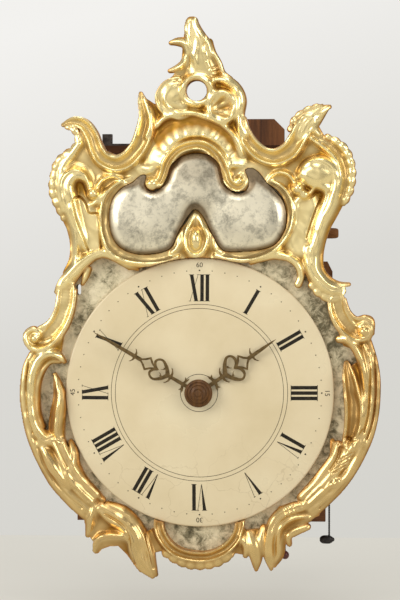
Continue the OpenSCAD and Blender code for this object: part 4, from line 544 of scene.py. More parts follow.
rib("flute", [(95, 240, 16, 14), (99, 248, 20, 15), (104, 254, 19, 15), (111, 260, 13, 13),
    (118, 265, 6, 10), (121, 266, 4, 8)])
rib("round", [(111, 240, 5, 12), (106, 246, 6, 14), (107, 253, 5, 14), (112, 258, 4, 12), (120, 265, 3, 9)])
rib("hollow", [(-44, 196, 8, 14), (-37, 196, 8, 16), (-33, 204, 9, 17), (-29, 215, 10, 18),
    (-19, 226, 10, 19), (-4, 230.5, 10, 19), (8, 228, 10, 19), (18, 219, 10, 18), (24, 207, 9, 17),
    (28, 196, 9, 16), (36, 191, 8, 15), (42, 196, 7, 14), (40, 202, 5, 13)])
fan_r = np.hypot(GX + 3, (GY - 204) * 0.93)
fan_angle = np.degrees(np.arctan2(GY - 204, GX + 3))
gadroons = np.abs(np.sin(np.radians(180 * (fan_angle - 8) / 12.4))) * np.clip((46 - fan_r) / 9, 0, 1)
pleats = (14.5 - 0.34 * (fan_r - 33)) * (0.93 + 0.07 * gadroons)
in_fan = (fan_r > 32) & (fan_r < 49) & (fan_angle > 8) & (fan_angle < 170)
relief = np.where(in_fan, np.maximum(relief, pleats), relief)
rib("round", [(-40, 248, 6, 12), (-32, 256, 7, 14), (-20, 259, 7, 14), (-4, 260, 7, 14), (10, 255, 6, 14),
    (22, 249, 6, 14), (33, 238, 6, 14), (40, 222, 6, 13)])
ground([(-64, 190), (-64, 212), (-30, 212), (-30, 190)], 9)
ground([(26, 188), (26, 212), (60, 212), (60, 188)], 9)
dome(-44, 194.5, 6, 6, 9, 17)
dome(37.5, 197.5, 4, 4, 10, 15)
rib("leaf", [(-60, 212, 6, 10), (-53, 207, 9, 12), (-46, 207, 7, 12), (-40, 211, 5, 11)])

# The left wing
# Gilded limewood, glued to the board: a beaked horn with a scalloped back, an arch over a smooth column
# and a sunk panel, a small scroll, the rim beside the silver cushion, and a leaf over the spandrel.
ground([(-62, 226), (-78, 222), (-92, 228), (-98, 244), (-112, 252), (-112, 240), (-116, 228), (-130, 221),
    (-137, 204), (-138, 186), (-128, 160), (-119, 142), (-119, 122), (-130, 104), (-130, 94), (-118, 100),
    (-106, 116), (-94, 126), (-82, 124), (-66, 114), (-27, 122), (-27, 140), (-62, 140), (-62, 214)], 8)
rib("scallop", [(-124, 248, 5, 10), (-117, 245, 7, 12), (-113, 236, 8, 12), (-117, 227, 9, 12),
    (-126, 221, 9, 12), (-133, 213, 9, 13), (-136, 201, 9, 13), (-137, 188, 9, 13), (-133, 175, 8, 12),
    (-127, 163, 7, 11)])
rib("round", [(-112, 232, 8, 13), (-119, 222, 9, 14), (-127, 211, 9, 14), (-130, 198, 9, 14),
    (-130, 184, 9, 14), (-126, 171, 8, 14)])
rib("rim_left", [(-99, 186, 8, 16), (-101, 196, 9, 17), (-106, 206, 10, 18), (-117, 210, 11, 18),
    (-127, 204, 11, 18), (-131, 193, 11, 17), (-129, 179, 11, 17), (-124, 166, 10, 16), (-119, 152, 10, 15),
    (-117, 138, 9, 14), (-118, 124, 9, 13), (-124, 112, 8, 10)])
rib("round", [(-103, 190, 7, 14), (-106, 199, 9, 16), (-115, 202, 11, 18), (-122, 194, 13, 18),
    (-120, 180, 14, 17), (-116, 165, 13, 16), (-111, 150, 12, 14), (-107, 136, 9, 12)])
ground([(-117, 178), (-112, 182), (-106, 177), (-102, 168), (-94, 166), (-92, 147), (-91, 134), (-104, 132),
    (-108, 143), (-114, 160)], 10.5)
crease([(-118, 178), (-113, 183), (-107, 178), (-103, 168), (-95, 166), (-93, 148), (-92, 135)],
    [(-118, 178), (-114, 160), (-108, 144), (-104, 133)], width=1.6, depth=2.2)
rib("rim_left", [(-68, 195, 5, 12), (-73, 201, 7, 13), (-81, 204, 8, 14), (-90, 201, 8, 15),
    (-96, 194, 8, 15), (-98, 187, 8, 15)])
dome(-99, 185.5, 5.5, 5.5, 12, 19)
rib("round", [(-102, 175, 4, 12), (-94, 179, 6, 14), (-87, 187, 6, 14)])
rib("rim_right", [(-64, 199, 5, 11), (-76, 193, 8, 13), (-84, 185, 9, 14), (-89, 173, 9, 15),
    (-90, 159, 9, 15), (-88, 146, 10, 15), (-83, 135, 11, 15), (-74, 128, 12, 15), (-60, 124, 12, 15),
    (-45, 123, 11, 15), (-32, 125, 10, 14), (-22, 128, 8, 13)])
rib("leaf", [(-134, 94, 5, 8), (-128, 102, 10, 12), (-119, 111, 13, 14), (-110, 120, 12, 15),
    (-101, 127, 10, 14), (-90, 130, 9, 14), (-79, 126, 8, 13), (-68, 119, 6, 11), (-58, 115, 3, 8)])
rib("ridge", [(-104, 115, 6, 11), (-107, 108, 6, 10), (-110, 101, 3, 8)])
crease([(-100, 118), (-92, 123), (-84, 123), (-76, 118)], width=1.2, depth=1.2)

# The right wing
# Gilded limewood, glued to the board: a broad horn with a notched back, a scalloped edge, one arch round
# a burnished boss, a column under it, the rim beside the silver cushion, and a pointed leaf.
ground([(58, 222), (66, 222), (80, 226), (86, 238), (90, 252), (104, 264), (112, 262), (110, 250),
    (118, 236), (134, 228), (143, 208), (142, 190), (130, 170), (117, 150), (110, 132), (110, 114),
    (122, 102), (136, 100), (134, 88), (118, 86), (104, 98), (98, 112), (88, 122), (70, 124), (22, 122),
    (22, 132), (58, 140), (86, 150), (84, 186), (58, 200)], 8)
rib("scallop", [(84, 245, 5, 13), (88, 254, 6, 13), (96, 261, 6, 13), (105, 265, 6, 12), (114, 267, 5, 10)])
rib("scallop", [(119, 238, 6, 11), (128, 233, 8, 13), (136, 225, 9, 14), (140.5, 213, 9, 14),
    (141.5, 200, 9, 14), (139.5, 187, 8, 13), (134, 176, 7, 12)])
rib("rim_left", [(100, 243, 6, 13), (108, 236, 9, 14), (119, 229, 11, 15), (129, 219, 12, 16),
    (134, 206, 12, 17), (134, 193, 12, 17), (130, 180, 11, 16), (124, 167, 10, 16), (117, 154, 10, 15),
    (113, 140, 9, 15), (111, 127, 9, 14), (112, 115, 9, 14), (118, 106, 9, 13), (128, 101, 7, 11),
    (139, 101, 4, 8)][::-1])
rib("round", [(93, 201, 6, 14), (99, 211, 8, 16), (110, 216, 9, 17), (121, 212, 10, 18), (127, 202, 10, 18),
    (127, 189, 11, 18), (122, 175, 12, 17), (115, 161, 12, 16), (110, 147, 12, 15), (106, 132, 12, 14),
    (105, 120, 12, 14)])
dome(110, 203, 17, 13, 14, 19.5, 0.8)
rib("round", [(103, 197, 9, 15), (110, 195, 12, 17), (118, 191, 12, 17)])
rib("ridge", [(102, 184, 6, 14), (108, 191, 7, 16), (115, 191, 7, 17), (118, 184, 7, 16), (115, 174, 7, 15),
    (110, 162, 7, 15), (106, 148, 7, 14), (103, 136, 6, 12)])
crease([(103, 180), (109, 186), (113, 183), (109, 172), (104, 158), (100, 144)], width=1.2, depth=1.2)
ground([(92, 180), (104, 183), (108, 172), (103, 158), (98, 142), (97, 128), (90, 130), (84, 138),
    (90, 154)], 11)
rib("rim_right", [(62, 196, 5, 12), (66, 203, 7, 13), (74, 207, 8, 14), (83, 205, 8, 15), (89, 199, 8, 16),
    (92, 191, 8, 16)])
dome(92, 190, 6, 6, 12, 20)
dome(98, 184, 5, 4.5, 12, 17)
rib("round", [(98, 183, 6, 13), (91, 178, 7, 13), (90, 166, 6, 12), (88, 152, 5, 11)])
rib("rim_left", [(64, 197, 5, 11), (75, 191, 8, 13), (82, 182, 9, 14), (85, 170, 9, 15), (84, 157, 9, 15),
    (79, 146, 10, 15), (70, 136, 11, 15), (57, 129, 11, 15), (42, 126, 10, 14), (28, 127, 9, 14),
    (17, 129, 8, 13)])
rib("round", [(48, 121, 4, 9), (59, 125, 6, 12), (71, 128, 8, 13), (83, 126, 8, 14), (92, 119, 8, 14),
    (94.5, 109, 7, 13), (92, 101, 7, 13)])
rib("leaf", [(102, 134, 12, 14), (104, 119, 14, 15), (110, 107, 14, 15), (120, 98, 13, 13),
    (132, 95, 9, 11)])
rib("scallop", [(104, 100, 6, 11), (111, 93, 8, 12), (121, 88, 8, 11), (132, 89, 7, 10)])

# The left border
# Gilded limewood, glued to the board beside the dial: a hatched cove that ends in a volute, a smooth
# band round an open pocket, and a broad fluted trunk.
ground([(-120, 93), (-130, 93), (-132, 80), (-138, 66), (-147, 59), (-160, 60), (-164, 50), (-157, 38),
    (-164, 18), (-165, -8), (-160, -38), (-150, -66), (-132, -94), (-112, -114), (-106, -120), (-94, -102),
    (-110, -84), (-122, -62), (-127, -44), (-129, -6), (-134, -6), (-138, -20), (-141, -36), (-152, -34),
    (-156, -16), (-154, 6), (-148, 22), (-134, 28), (-130, 36), (-126, 60), (-121, 78)], 8)
rib("hatch", [(-124, 97, 15, 12), (-126, 80, 15, 12), (-132, 66, 14, 12), (-141, 55, 12, 12),
    (-149, 50, 9, 12)])
rib("round", [(-117, 95, 5, 12), (-119, 78, 5, 13), (-125, 62, 6, 14), (-134, 49, 6, 15), (-144, 41, 7, 16),
    (-154, 40, 7, 16), (-161, 46, 6, 16), (-162, 54, 6, 15), (-156, 59, 6, 14), (-150, 55, 5, 14),
    (-151, 50, 4, 15)])
dome(-154, 50.5, 4.5, 4.5, 10, 16)
rib("round", [(-132, 94, 4, 11), (-134, 78, 4, 12), (-140, 66, 5, 12), (-149, 60, 5, 12)])
rib("round", [(-127, 28.5, 4, 9), (-133, 34, 8, 14), (-141, 36, 10, 16), (-149, 32, 11, 17),
    (-154.5, 23, 11, 17), (-157, 11, 11, 17), (-158, -2, 11, 17), (-157.5, -16, 11, 17),
    (-155, -29, 12, 17), (-149, -40, 13, 16), (-141, -46, 13, 15)])
rib("ridge", [(-131, 28, 3, 10), (-140, 28, 4, 12), (-147, 20, 5, 13), (-151, 8, 5, 13), (-152, -6, 5, 13),
    (-151, -20, 5, 13), (-147, -32, 5, 13)])
rib("round", [(-157, 36, 6, 12), (-162.5, 24, 6, 13), (-165, 9, 6, 13), (-165.5, -6, 6, 13),
    (-163.5, -22, 6, 13), (-160, -37, 7, 13), (-154, -53, 8, 13), (-146, -69, 9, 13), (-136, -85, 10, 13),
    (-124, -99, 10, 12), (-112, -111, 9, 11), (-104, -119, 6, 9)])
rib("ridge", [(-136, 17, 3, 9), (-133, 7, 8, 13), (-131, -7, 13, 16), (-133, -21, 15, 17),
    (-134, -35, 15, 17), (-133, -48, 14, 16)])
rib("round", [(-149, -44, 9, 14), (-150, -54, 9, 13), (-144, -70, 9, 13), (-132, -86, 10, 13.5),
    (-119, -99, 11, 14), (-106, -109, 10, 13), (-100, -113, 8, 11)])
rib("round", [(-147, -49, 5, 13), (-143, -58, 11, 17), (-137, -69, 14, 19), (-129, -80, 11, 17.5),
    (-121, -90, 5, 14)])
rib("round", [(-139, -43, 8, 15), (-133, -54, 8, 15), (-128, -66, 8, 15.5), (-122, -79, 9, 16.5),
    (-112, -92, 11, 17), (-101, -102, 10, 15)])
rib("leaf", [(-130, -46, 9, 15), (-125, -58, 10, 15), (-119, -71, 12, 15.5), (-110, -84, 12, 15),
    (-97, -96, 9, 13)])
crease([(-151, -38), (-144, -44), (-136, -42), (-128, -46)], [(-151, -52), (-146, -66), (-136, -82),
    (-124, -96), (-110, -108)], [(-135, -46), (-130, -58), (-124, -70)], [(-116, -90), (-104, -101)],
    width=2.4, depth=1.5)
rib("ridge", [(-121, -46, 4, 9), (-118, -57, 9, 13), (-117, -68, 10, 14), (-110, -80, 8, 13),
    (-101, -91, 7, 12), (-91, -101, 6, 10)])
crease([(-160, 30), (-162, 12), (-162, -6), (-160.5, -22), (-156, -38)], width=1.4, depth=1.6)

# The right border
# Gilded limewood, glued to the board like the left border. Its volute is tighter, and a broad leaf with
# several long flutes beside it runs into the trunk.
ground([(121, 84), (134, 84), (140, 73), (150, 68), (159, 68), (160, 50), (158, 42), (164, 22), (165, -8),
    (161, -38), (152, -60), (137, -84), (118, -104), (103, -118), (97, -100), (112, -84), (123, -62),
    (134, -46), (136, -26), (134, 0), (137, 20), (142, 26), (148, 30), (150, 38), (134, 44), (128, 60)], 8)
rib("hatch", [(128, 88, 14, 12), (129, 77, 14, 12), (135, 66, 13, 12), (144, 58, 10, 12)])
rib("round", [(121, 88, 5, 12), (123, 74, 5, 13), (129, 62, 6, 14), (138, 53, 6, 15), (148, 49, 6, 15),
    (157, 52, 6, 15), (160, 60, 5, 14), (155, 66, 5, 13), (148, 62, 5, 13)])
rib("round", [(135, 87, 4, 11), (139, 76, 4, 12), (146, 69, 5, 12), (154, 70, 6, 12), (160, 67, 6, 11),
    (160, 56, 6, 12)])
dome(153, 57.5, 5, 5, 11, 17)
rib("round", [(130, 50, 7, 12), (137, 50, 9, 15), (144, 44, 9, 16), (149, 35, 9, 16), (153, 23, 8, 16),
    (155, 8, 8, 16), (155, -8, 8, 16), (153, -24, 9, 16), (148, -38, 9, 15)])
rib("round", [(154, 44, 5, 13), (158, 32, 6, 15), (160, 18, 6, 15), (161, 2, 6, 15), (160, -14, 6, 15),
    (157, -30, 7, 15), (152, -45, 8, 14)])
rib("round", [(158, 48, 5, 11), (163, 32, 5, 12), (166, 14, 5, 12), (166, -4, 5, 12), (164.5, -20, 5, 12),
    (160, -38, 6, 13), (153, -54, 7, 13), (144, -70, 8, 13), (133, -85, 9, 13), (120, -99, 9, 12),
    (107, -112, 7, 10), (101, -118, 5, 9)])
rib("hollow", [(137, 28, 5, 10), (139, 17, 12, 15), (142, 1, 16, 17), (144, -15, 18, 18),
    (143, -32, 17, 17), (140, -46, 15, 16)])
crease([(157, 40), (159, 20), (158.5, 0), (157, -20), (153, -36)], [(163, 36), (164, 14), (163.6, -6),
    (161, -26), (156, -42)], width=1.4, depth=1.6)
rib("round", [(152, -44, 10, 15), (149, -56, 10, 15), (142, -70, 10, 14.5), (131, -85, 10, 14),
    (118, -98, 11, 14), (104, -109, 9, 12)])
rib("round", [(147, -40, 7, 14), (143, -49, 11, 18), (138, -58, 10, 17), (136, -67, 6, 14)])
rib("leaf", [(138, -50, 8, 14), (133, -62, 12, 16), (127, -73, 12, 16), (118, -85, 14, 17),
    (108, -95, 13, 16.5), (99, -104, 9, 14)])
rib("round", [(130, -80, 5, 14), (124, -84, 10, 19), (117, -89, 5, 14)])
rib("round", [(129, -48, 8, 14), (125, -60, 9, 15), (117, -72, 10, 15), (107, -85, 10, 14.5),
    (95, -97, 8, 13)])
crease([(152, -34), (145, -43), (136, -41), (130, -47)], [(153, -50), (148, -64), (138, -80), (126, -94),
    (112, -107)], [(131, -50), (129, -60), (122, -71)], [(113, -88), (101, -100)], width=2.4, depth=1.5)
crease([(130, -62), (142, -55)], [(128, -66), (140, -59)], [(126, -70), (138, -63)], [(124, -74),
    (136, -67)], width=1.5, depth=1.4)
rib("ridge", [(124, -45, 5, 9), (127, -56, 11, 14), (123, -68, 12, 15), (115, -80, 11, 14),
    (106, -91, 9, 13), (95, -101, 7, 11)])

# The apron
# The lowest block of gilded limewood, glued to the board below the dial: a double rim with a scalloped
# edge, between two feet of falling leaves.
ground([(-104, -120), (-98, -104), (-86, -108), (-70, -112), (-58, -122), (-51, -131), (-43, -127),
    (-38, -122), (-35, -136), (-26, -146), (-12, -151), (4, -151), (22, -147), (33, -137), (37, -122),
    (44, -128), (62, -126), (74, -106), (98, -102), (100, -122), (84, -132), (78, -144), (70, -162),
    (60, -152), (53, -164), (46, -152), (34, -150), (26, -157), (10, -163), (-10, -163), (-26, -155),
    (-34, -148), (-42, -150), (-42, -170), (-56, -168), (-68, -152), (-78, -142), (-94, -148),
    (-104, -134)], 8)
rib("scallop", [(-31, -150, 9, 12), (-20, -157, 9, 12), (-7, -161, 9, 12), (6, -161, 9, 12),
    (18, -158, 9, 12), (29, -151, 9, 12)])
rib("hollow", [(-38, -119, 9, 14), (-37, -129, 10, 15), (-31, -140, 10, 16), (-20, -149, 10, 17),
    (-4, -153, 10, 17), (11, -152, 10, 17), (24, -146, 10, 17), (33, -137, 10, 16), (37, -127, 9, 15),
    (38, -118, 9, 14)])
rib("ridge", [(-98, -105, 10, 13), (-101, -115, 14, 15), (-102, -125, 11, 13), (-105, -134, 5, 9)])
rib("rim_right", [(-64, -148, 6, 12), (-69, -139, 11, 15), (-80, -137, 14, 16), (-92, -139, 13, 15),
    (-97, -148, 7, 10)])
rib("leaf", [(-92, -109, 12, 13), (-81, -117, 16, 15), (-69, -124, 16, 17), (-61, -134, 16, 18),
    (-58, -147, 16, 17), (-54, -160, 13, 15), (-44, -172, 5, 9)])
rib("ridge", [(-86, -105, 6, 10), (-72, -111, 10, 13), (-61, -120, 9, 14), (-53, -132, 9, 15),
    (-48, -146, 11, 15), (-45, -160, 9, 13), (-41, -171, 4, 8)])
crease([(-88, -114), (-74, -122), (-66, -132), (-64, -146), (-60, -160)], [(-50, -133), (-46, -150),
    (-43, -164)], width=1.8, depth=1.8)
rib("flute", [(47, -132, 8, 12), (50, -142, 14, 15), (53, -153, 12, 13), (53, -165, 4, 8)])
rib("round", [(38, -133, 7, 12), (43, -143, 7, 13), (43, -152, 5, 10)])
ground([(92, -98), (110, -98), (112, -114), (96, -121)], 9)
rib("leaf", [(99, -105, 10, 13), (87, -108, 12, 15), (75, -114, 12, 17), (68, -125, 12, 18),
    (65, -139, 11, 17), (65, -152, 10, 15), (67, -164, 4, 9)])
rib("rim_right", [(101, -117, 8, 12), (89, -119, 10, 14), (79, -126, 11, 16), (76, -138, 10, 16),
    (75, -151, 8, 13), (70, -161, 4, 9)])
rib("round", [(101, -125, 6, 10), (91, -128, 9, 12), (83, -133, 8, 13), (84, -141, 5, 10)])
rib("flute", [(60, -126, 7, 12), (57, -138, 9, 14), (59, -150, 6, 11)])
crease([(88, -104), (90, -111)], [(84, -106), (86, -113)], [(80, -108), (82, -115)], width=1.2, depth=1.0)

# The palmette
# A small flame round a bead, carved in limewood and gilded. It is glued on between the two halves of
# the silver cushion.
ground([(-30, 112), (-30, 134), (-17, 151), (-10, 163), (-4, 171), (4, 165), (11, 150), (25, 134),
    (25, 112)], 8)
dome(-3, 142, 6, 10.5, 9, 17)
rib("round", [(-4, 167, 4, 9), (-9, 157, 6, 13), (-13, 145, 6, 14), (-11, 133, 6, 15), (-3, 128, 6, 15),
    (5, 133, 6, 15), (8, 145, 6, 14), (3, 157, 6, 13), (-2, 166, 4, 9)])
rib("ridge", [(-13, 155, 4, 8), (-18, 146, 8, 12), (-20, 136, 9, 14), (-26, 130, 7, 12)])
rib("ridge", [(8, 153, 4, 8), (13, 145, 8, 12), (15, 135, 9, 14), (21, 130, 7, 12)])
for x0, y0, x1, y1 in ((-14, 122, -16, 127), (-8, 121, -9, 126), (-2, 121, -2, 126), (5, 121, 6, 126),
        (11, 122, 13, 127)):
    rib("round", [(x0, y0, 4.8, 11), ((x0 + x1) / 2, (y0 + y1) / 2, 6, 10.23), (x1, y1, 4.8, 7.92)])

# Surface and tones of the carving
# The openings for the ring, the dial and the cushion are cut, then the forms melt into their ground
# and get a hand-made unevenness. The tones paint shade into the hollows and creases, mark the crowns,
# and say where a rim is worn; in the fan's cove and the shell cup the rim tone is painted shade.
cushion_line = [(-3, 223), (9, 221), (18, 213), (21, 203), (24, 193), (31, 187), (38, 185.5), (44, 188.5),
    (46.5, 195), (45, 202), (43, 207), (48, 209), (55, 205), (62, 196), (70, 188), (78, 178), (81, 165),
    (79, 151), (71, 139), (58, 134), (42, 132), (26, 132), (19, 136), (11, 150), (4, 164), (-4, 171),
    (-11, 164), (-19, 151), (-27, 135), (-42, 130), (-60, 130), (-74, 136), (-82, 148), (-84, 166),
    (-81, 180), (-73, 190), (-62, 196), (-55, 202), (-50, 202), (-51, 195), (-47, 188.5), (-41, 187.5),
    (-35, 191), (-30, 200), (-26, 211), (-16, 220)]
cushion_line = smooth_line(cushion_line + cushion_line[:1], 2.4)[:-1]
cup = np.hypot((GX - 21) / 0.94, (GY - 265.5) / 1.06)
cup_ribs = 0.9 * np.cos(np.arctan2(GY - 262, GX - 8) * 15)
ring_r, dial_seat, cushion_seat = 9.5, 125.9, 0.3
reach = np.maximum(reach, ring_r - np.hypot(GX + 2.5, GY - 281))
reach = np.maximum(reach, dial_seat - np.hypot(GX, GY))
reach = np.maximum(reach, cushion_seat - area_distance(cushion_line, GX, GY))
solid = (reach < 0).astype(float)


def blurred(field, radius):
    """A field averaged over a square window, three times."""
    n = max(1, int(radius / pitch))
    size = 2 * n + 1
    for _ in range(3):
        for axis in (0, 1):
            first, last = (np.repeat(np.take(field, [i], axis), k, axis) for i, k in ((0, n + 1), (-1, n)))
            total = np.cumsum(np.concatenate([first, field, last], axis), axis)
            high = np.take(total, range(size, total.shape[axis]), axis)
            low = np.take(total, range(0, total.shape[axis] - size), axis)
            field = (high - low) / size
    return field


def averaged(field, radius):
    """The mean of a field round each point, over the carving alone."""
    return blurred(field * solid, radius) / (blurred(solid, radius) + 1e-3)


least_height, ground_melt = 3.5, 2.2
bottom = np.maximum(blurred(bed, 1.9), 0.86 * averaged(np.maximum(relief, bed), 2.5))
both = np.maximum(ground_melt - np.abs(relief - bottom), 0) / ground_melt
body = np.maximum(relief, bottom) + both ** 2 * 0.55
body = np.where(cup < 12.5, np.minimum(body, 7.8 + 0.052 * cup ** 2 + cup_ribs), body)
crisp = np.maximum(body - cut, least_height)
body = 0.5 * averaged(body, 0.57) + 0.5 * averaged(body, 1.15)
wander = 0.30 * np.sin(GX / 7.1 + 1.3 * np.sin(GY / 9.3)) * np.sin(GY / 6.3 + np.sin(GX / 11.0))
wander += (0.50 * np.sin(GX / 4.3 + 1.7 * np.sin(GY / 8.1)) * np.sin(GY / 4.7 + 1.3 * np.sin(GX / 7.7))
    + 0.05 * np.sin(GX / 2.3 + GY / 3.1) * np.sin(GY / 2.1 - GX / 4.0))
surface = np.where(reach < 0, np.maximum(body - cut, least_height), np.maximum(0.9 * fringe, 4.0)) + wander
crisp = blurred(np.where(reach < 0, crisp, surface), 0.57)
# Painted shade: this tone darkens narrow creases from the crisper relief and broad coves from the wider
# average.
cavity_shade = 0.55 + 0.12 * (crisp - averaged(surface, 3.4)) + 0.04 * (surface - averaged(surface, 9.0))
fan_outline = [(-36, 214), (-42, 240), (-34, 253), (-4, 258), (26, 245), (34, 230), (38, 214)]
fan = (np.hypot(GX + 3, (GY - 203) * 0.95) > 33) & (area_distance(fan_outline, GX, GY) < 0)
fan_shade = blurred(fan * np.clip((13.4 - relief) / 3, 0, 1), 1.2)
cavity_shade = np.clip(np.clip(cavity_shade, 0, 1) - 0.42 * fan_shade, 0, 1)
# Worn rims show the red bole. The same under colour is painted shade in the fan's cove and on the right side of
# the shell cup.
rim_wear_and_shade = np.maximum(np.clip(1 + reach / reach_edge, 0, 1), 0.35 * fan_shade)
rim_wear_and_shade = np.maximum(rim_wear_and_shade, np.where((cup < 12) & (GX > 24), 0.5, 0))


def drawn_in(field, X, Y, step):
    """Grid points just outside an outline, moved onto it."""
    slope_y, slope_x = np.gradient(field, step)
    shift = np.where((field > 0) & (field < 1.2), field, 0) / np.maximum(0.25, slope_x ** 2 + slope_y ** 2)
    return X - shift * slope_x, Y - shift * slope_y


def cells_of(field):
    """The grid's cells that an outline's inside touches."""
    corners = [field[:-1, :-1], field[1:, :-1], field[:-1, 1:], field[1:, 1:]]
    return np.any([c < 0 for c in corners], axis=0) & np.all([c < 0.85 for c in corners], axis=0)


def carved_block(name, keep, X, Y, height, tones):
    """One closed block from the kept cells of a grid, with its named tones as attributes."""
    j, i = np.nonzero(keep)
    across = X.shape[1]
    corner = j * across + i
    corners = np.stack([corner, corner + 1, corner + across + 1, corner + across], 1)
    used, index = np.unique(corners, return_inverse=True)
    top = index.reshape(corners.shape)
    n = len(used)
    x, y, h = X.ravel()[used] * mm, Y.ravel()[used] * mm, height.ravel()[used] * mm
    front = np.stack([x, face_y - h, dial_z + y], 1)
    back = np.stack([x, np.full(n, face_y), dial_z + y], 1)
    edges = np.concatenate([top[:, [0, 1]], top[:, [1, 2]], top[:, [2, 3]], top[:, [3, 0]]])
    rim = edges[~np.isin(edges[:, 0] * n + edges[:, 1], edges[:, 1] * n + edges[:, 0])]
    wall = np.stack([rim[:, 1], rim[:, 0], rim[:, 0] + n, rim[:, 1] + n], 1)
    faces = np.concatenate([top, top[:, ::-1] + n, wall])
    data = bpy.data.meshes.new(name)
    data.vertices.add(2 * n)
    data.vertices.foreach_set("co", np.concatenate([front, back]).ravel())
    data.loops.add(faces.size)
    data.loops.foreach_set("vertex_index", faces.ravel().astype(np.int32))
    data.polygons.add(len(faces))
    data.polygons.foreach_set("loop_start", np.arange(0, faces.size, 4, dtype=np.int32))
    data.polygons.foreach_set("use_smooth", np.ones(len(faces), bool))
    data.update(calc_edges=True)
    data.validate()
    data.set_sharp_from_angle(angle=radians(65))
    for key, (values, behind) in tones.items():
        level = np.concatenate([values.ravel()[used], np.full(n, behind)]).astype(np.float32)
        data.attributes.new(key, "FLOAT", "POINT").data.foreach_set("value", level)
    piece = placed(name, data)
    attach(piece, "case")
    return piece


def leaf_group():
    """Metal leaf over a coloured ground: painted shade in hollows and towards the bottom and right, the ground
    showing where the rim is worn and as painted shade in coves.
    """
    group, given, end = new_group("metal_leaf", "ShaderNodeTree",
        {"Vector": "Vector", "Relief": "Float", "Rim": "Float", "Leaf": "Color", "Deep": "Color",
            "Under": "Color", "Wear": "Float", "Smoke": "Float"},
        {"Color": "Color", "Metallic": "Float", "Roughness": "Float", "Height": "Float"})
    fine = noise(group, given["Vector"], 150.0, 2.0)
    cloud = span(group, noise(group, given["Vector"], 45.0, 5.0), 0.3, 0.7, 0.84, 1.04)
    # Painted shade: the leaf takes its deep colour in the hollows.
    deep = mixed(group, span(group, given["Relief"], 0.52, 0.12), given["Leaf"], given["Deep"])
    x, y, z = axes(group, given["Vector"])
    # Painted shade: the leaf darkens towards the bottom and the right of the carving.
    down = maths(group, "MULTIPLY_ADD", x, 0.35, maths(group, "MULTIPLY", z, -1.0))
    shade_below = maths(group, "MULTIPLY", span(group, down, 170 * mm, 260 * mm), given["Smoke"])
    mottled_and_shaded = mixed(group, shade_below, scaled(group, deep, cloud), (0.60, 0.45, 0.31, 1), "MULTIPLY")
    # The under colour shows where crowns and rims are worn, and as painted shade where the rim tone carries it.
    bare = maths(group, "MAXIMUM", span(group, given["Relief"], 0.90, 1.40), given["Rim"])
    worn = maths(group, "MULTIPLY", bare, span(group, fine, 0.38, 0.56))
    amount = maths(group, "MULTIPLY", worn, given["Wear"], clamp=True)
    feed(group, end, Color=mixed(group, amount, mottled_and_shaded, given["Under"]), Height=fine,
        Metallic=span(group, amount, 0, 1, 0.94, 0.1),
        Roughness=span(group, given["Relief"], 0.2, 0.75, 0.40, 0.25))
    return group


metal_leaf = leaf_group()


def leaf_finish(name, leaf, deep, under, wear_and_shade, shade_below, depth):
    """Gold or silver leaf on a carved piece, from its relief and rim attributes."""
    material, tree, shader, place = finish_of(name)
    effect = node(tree, "ShaderNodeGroup", node_tree=metal_leaf)
    relief, rim = (node(tree, "ShaderNodeAttribute", attribute_name=key).outputs["Fac"]
        for key in ("relief", "rim"))
    feed(tree, effect, Vector=place, Relief=relief, Rim=rim, Leaf=(*leaf, 1), Deep=(*deep, 1),
        Under=(*under, 1), Wear=wear_and_shade, Smoke=shade_below)
    made = effect.outputs
    feed(tree, shader, Base_Color=made["Color"], Metallic=made["Metallic"], Roughness=made["Roughness"],
        Normal=bump(tree, made["Height"], 0.12, depth))
    return material, tree, shader, place, made


# The gold's deep colour is the painted shade of its hollows; its under colour is the red bole.
gold_leaf, *_ = leaf_finish("gold_leaf", (0.99, 0.80, 0.385), (0.38, 0.19, 0.025), (0.46, 0.19, 0.03),
    0.8, 0.62, 0.0003)
SX, SY = drawn_in(reach, GX, GY, pitch)
cell = cells_of(reach)
mid_x, mid_y = GX[:-1, :-1] + pitch / 2, GY[:-1, :-1] + pitch / 2
for name, outline in {
    "crest_carving": [(-62, 370), (-62, 186), (58, 186), (58, 240), (60, 370)],
    "left_wing": [(-62, 280), (-62, 186), (-27, 186), (-27, 100), (-60, 93), (-150, 93), (-150, 280)],
    "right_wing": [(59, 280), (58, 240), (58, 186), (22, 186), (22, 100), (60, 84), (155, 84), (155, 280)],
    "left_border": [(-180, 93), (-60, 93), (-60, -50), (-90, -96), (-112, -128), (-180, -128)],
    "right_border": [(180, 84), (60, 84), (60, -50), (92, -96), (106, -128), (180, -128)],
    "apron_carving": [(-112, -128), (-90, -96), (-60, -50), (60, -50), (92, -96), (106, -128), (106, -190),
        (-112, -190)],
    "palmette": [(-27, 116), (-27, 178), (22, 178), (22, 116)],
}.items():
    keep = cell & (area_distance(outline, mid_x, mid_y) < 0)
    tones = {"relief": (cavity_shade, 0.5), "rim": (rim_wear_and_shade, 1.0)}
    finished(carved_block(name + "_gilt", keep, SX, SY, surface, tones), gold_leaf, name)

# The silver cushion
# A swelling cartouche over the dial: three soft lobes of carved wood under silver leaf, which has
# tarnished brown at its borders. A painted highlight lies on the two side lobes, and painted shade under the
# arch.
fine_step = 0.8
CX, CY = np.meshgrid(np.arange(-87, 84.5, fine_step), np.arange(127, 226.5, fine_step))


def spot(x, y, rx, ry):
    """A soft round patch on the cushion."""
    return np.exp(-((CX - x) / rx) ** 2 - ((CY - y) / ry) ** 2)


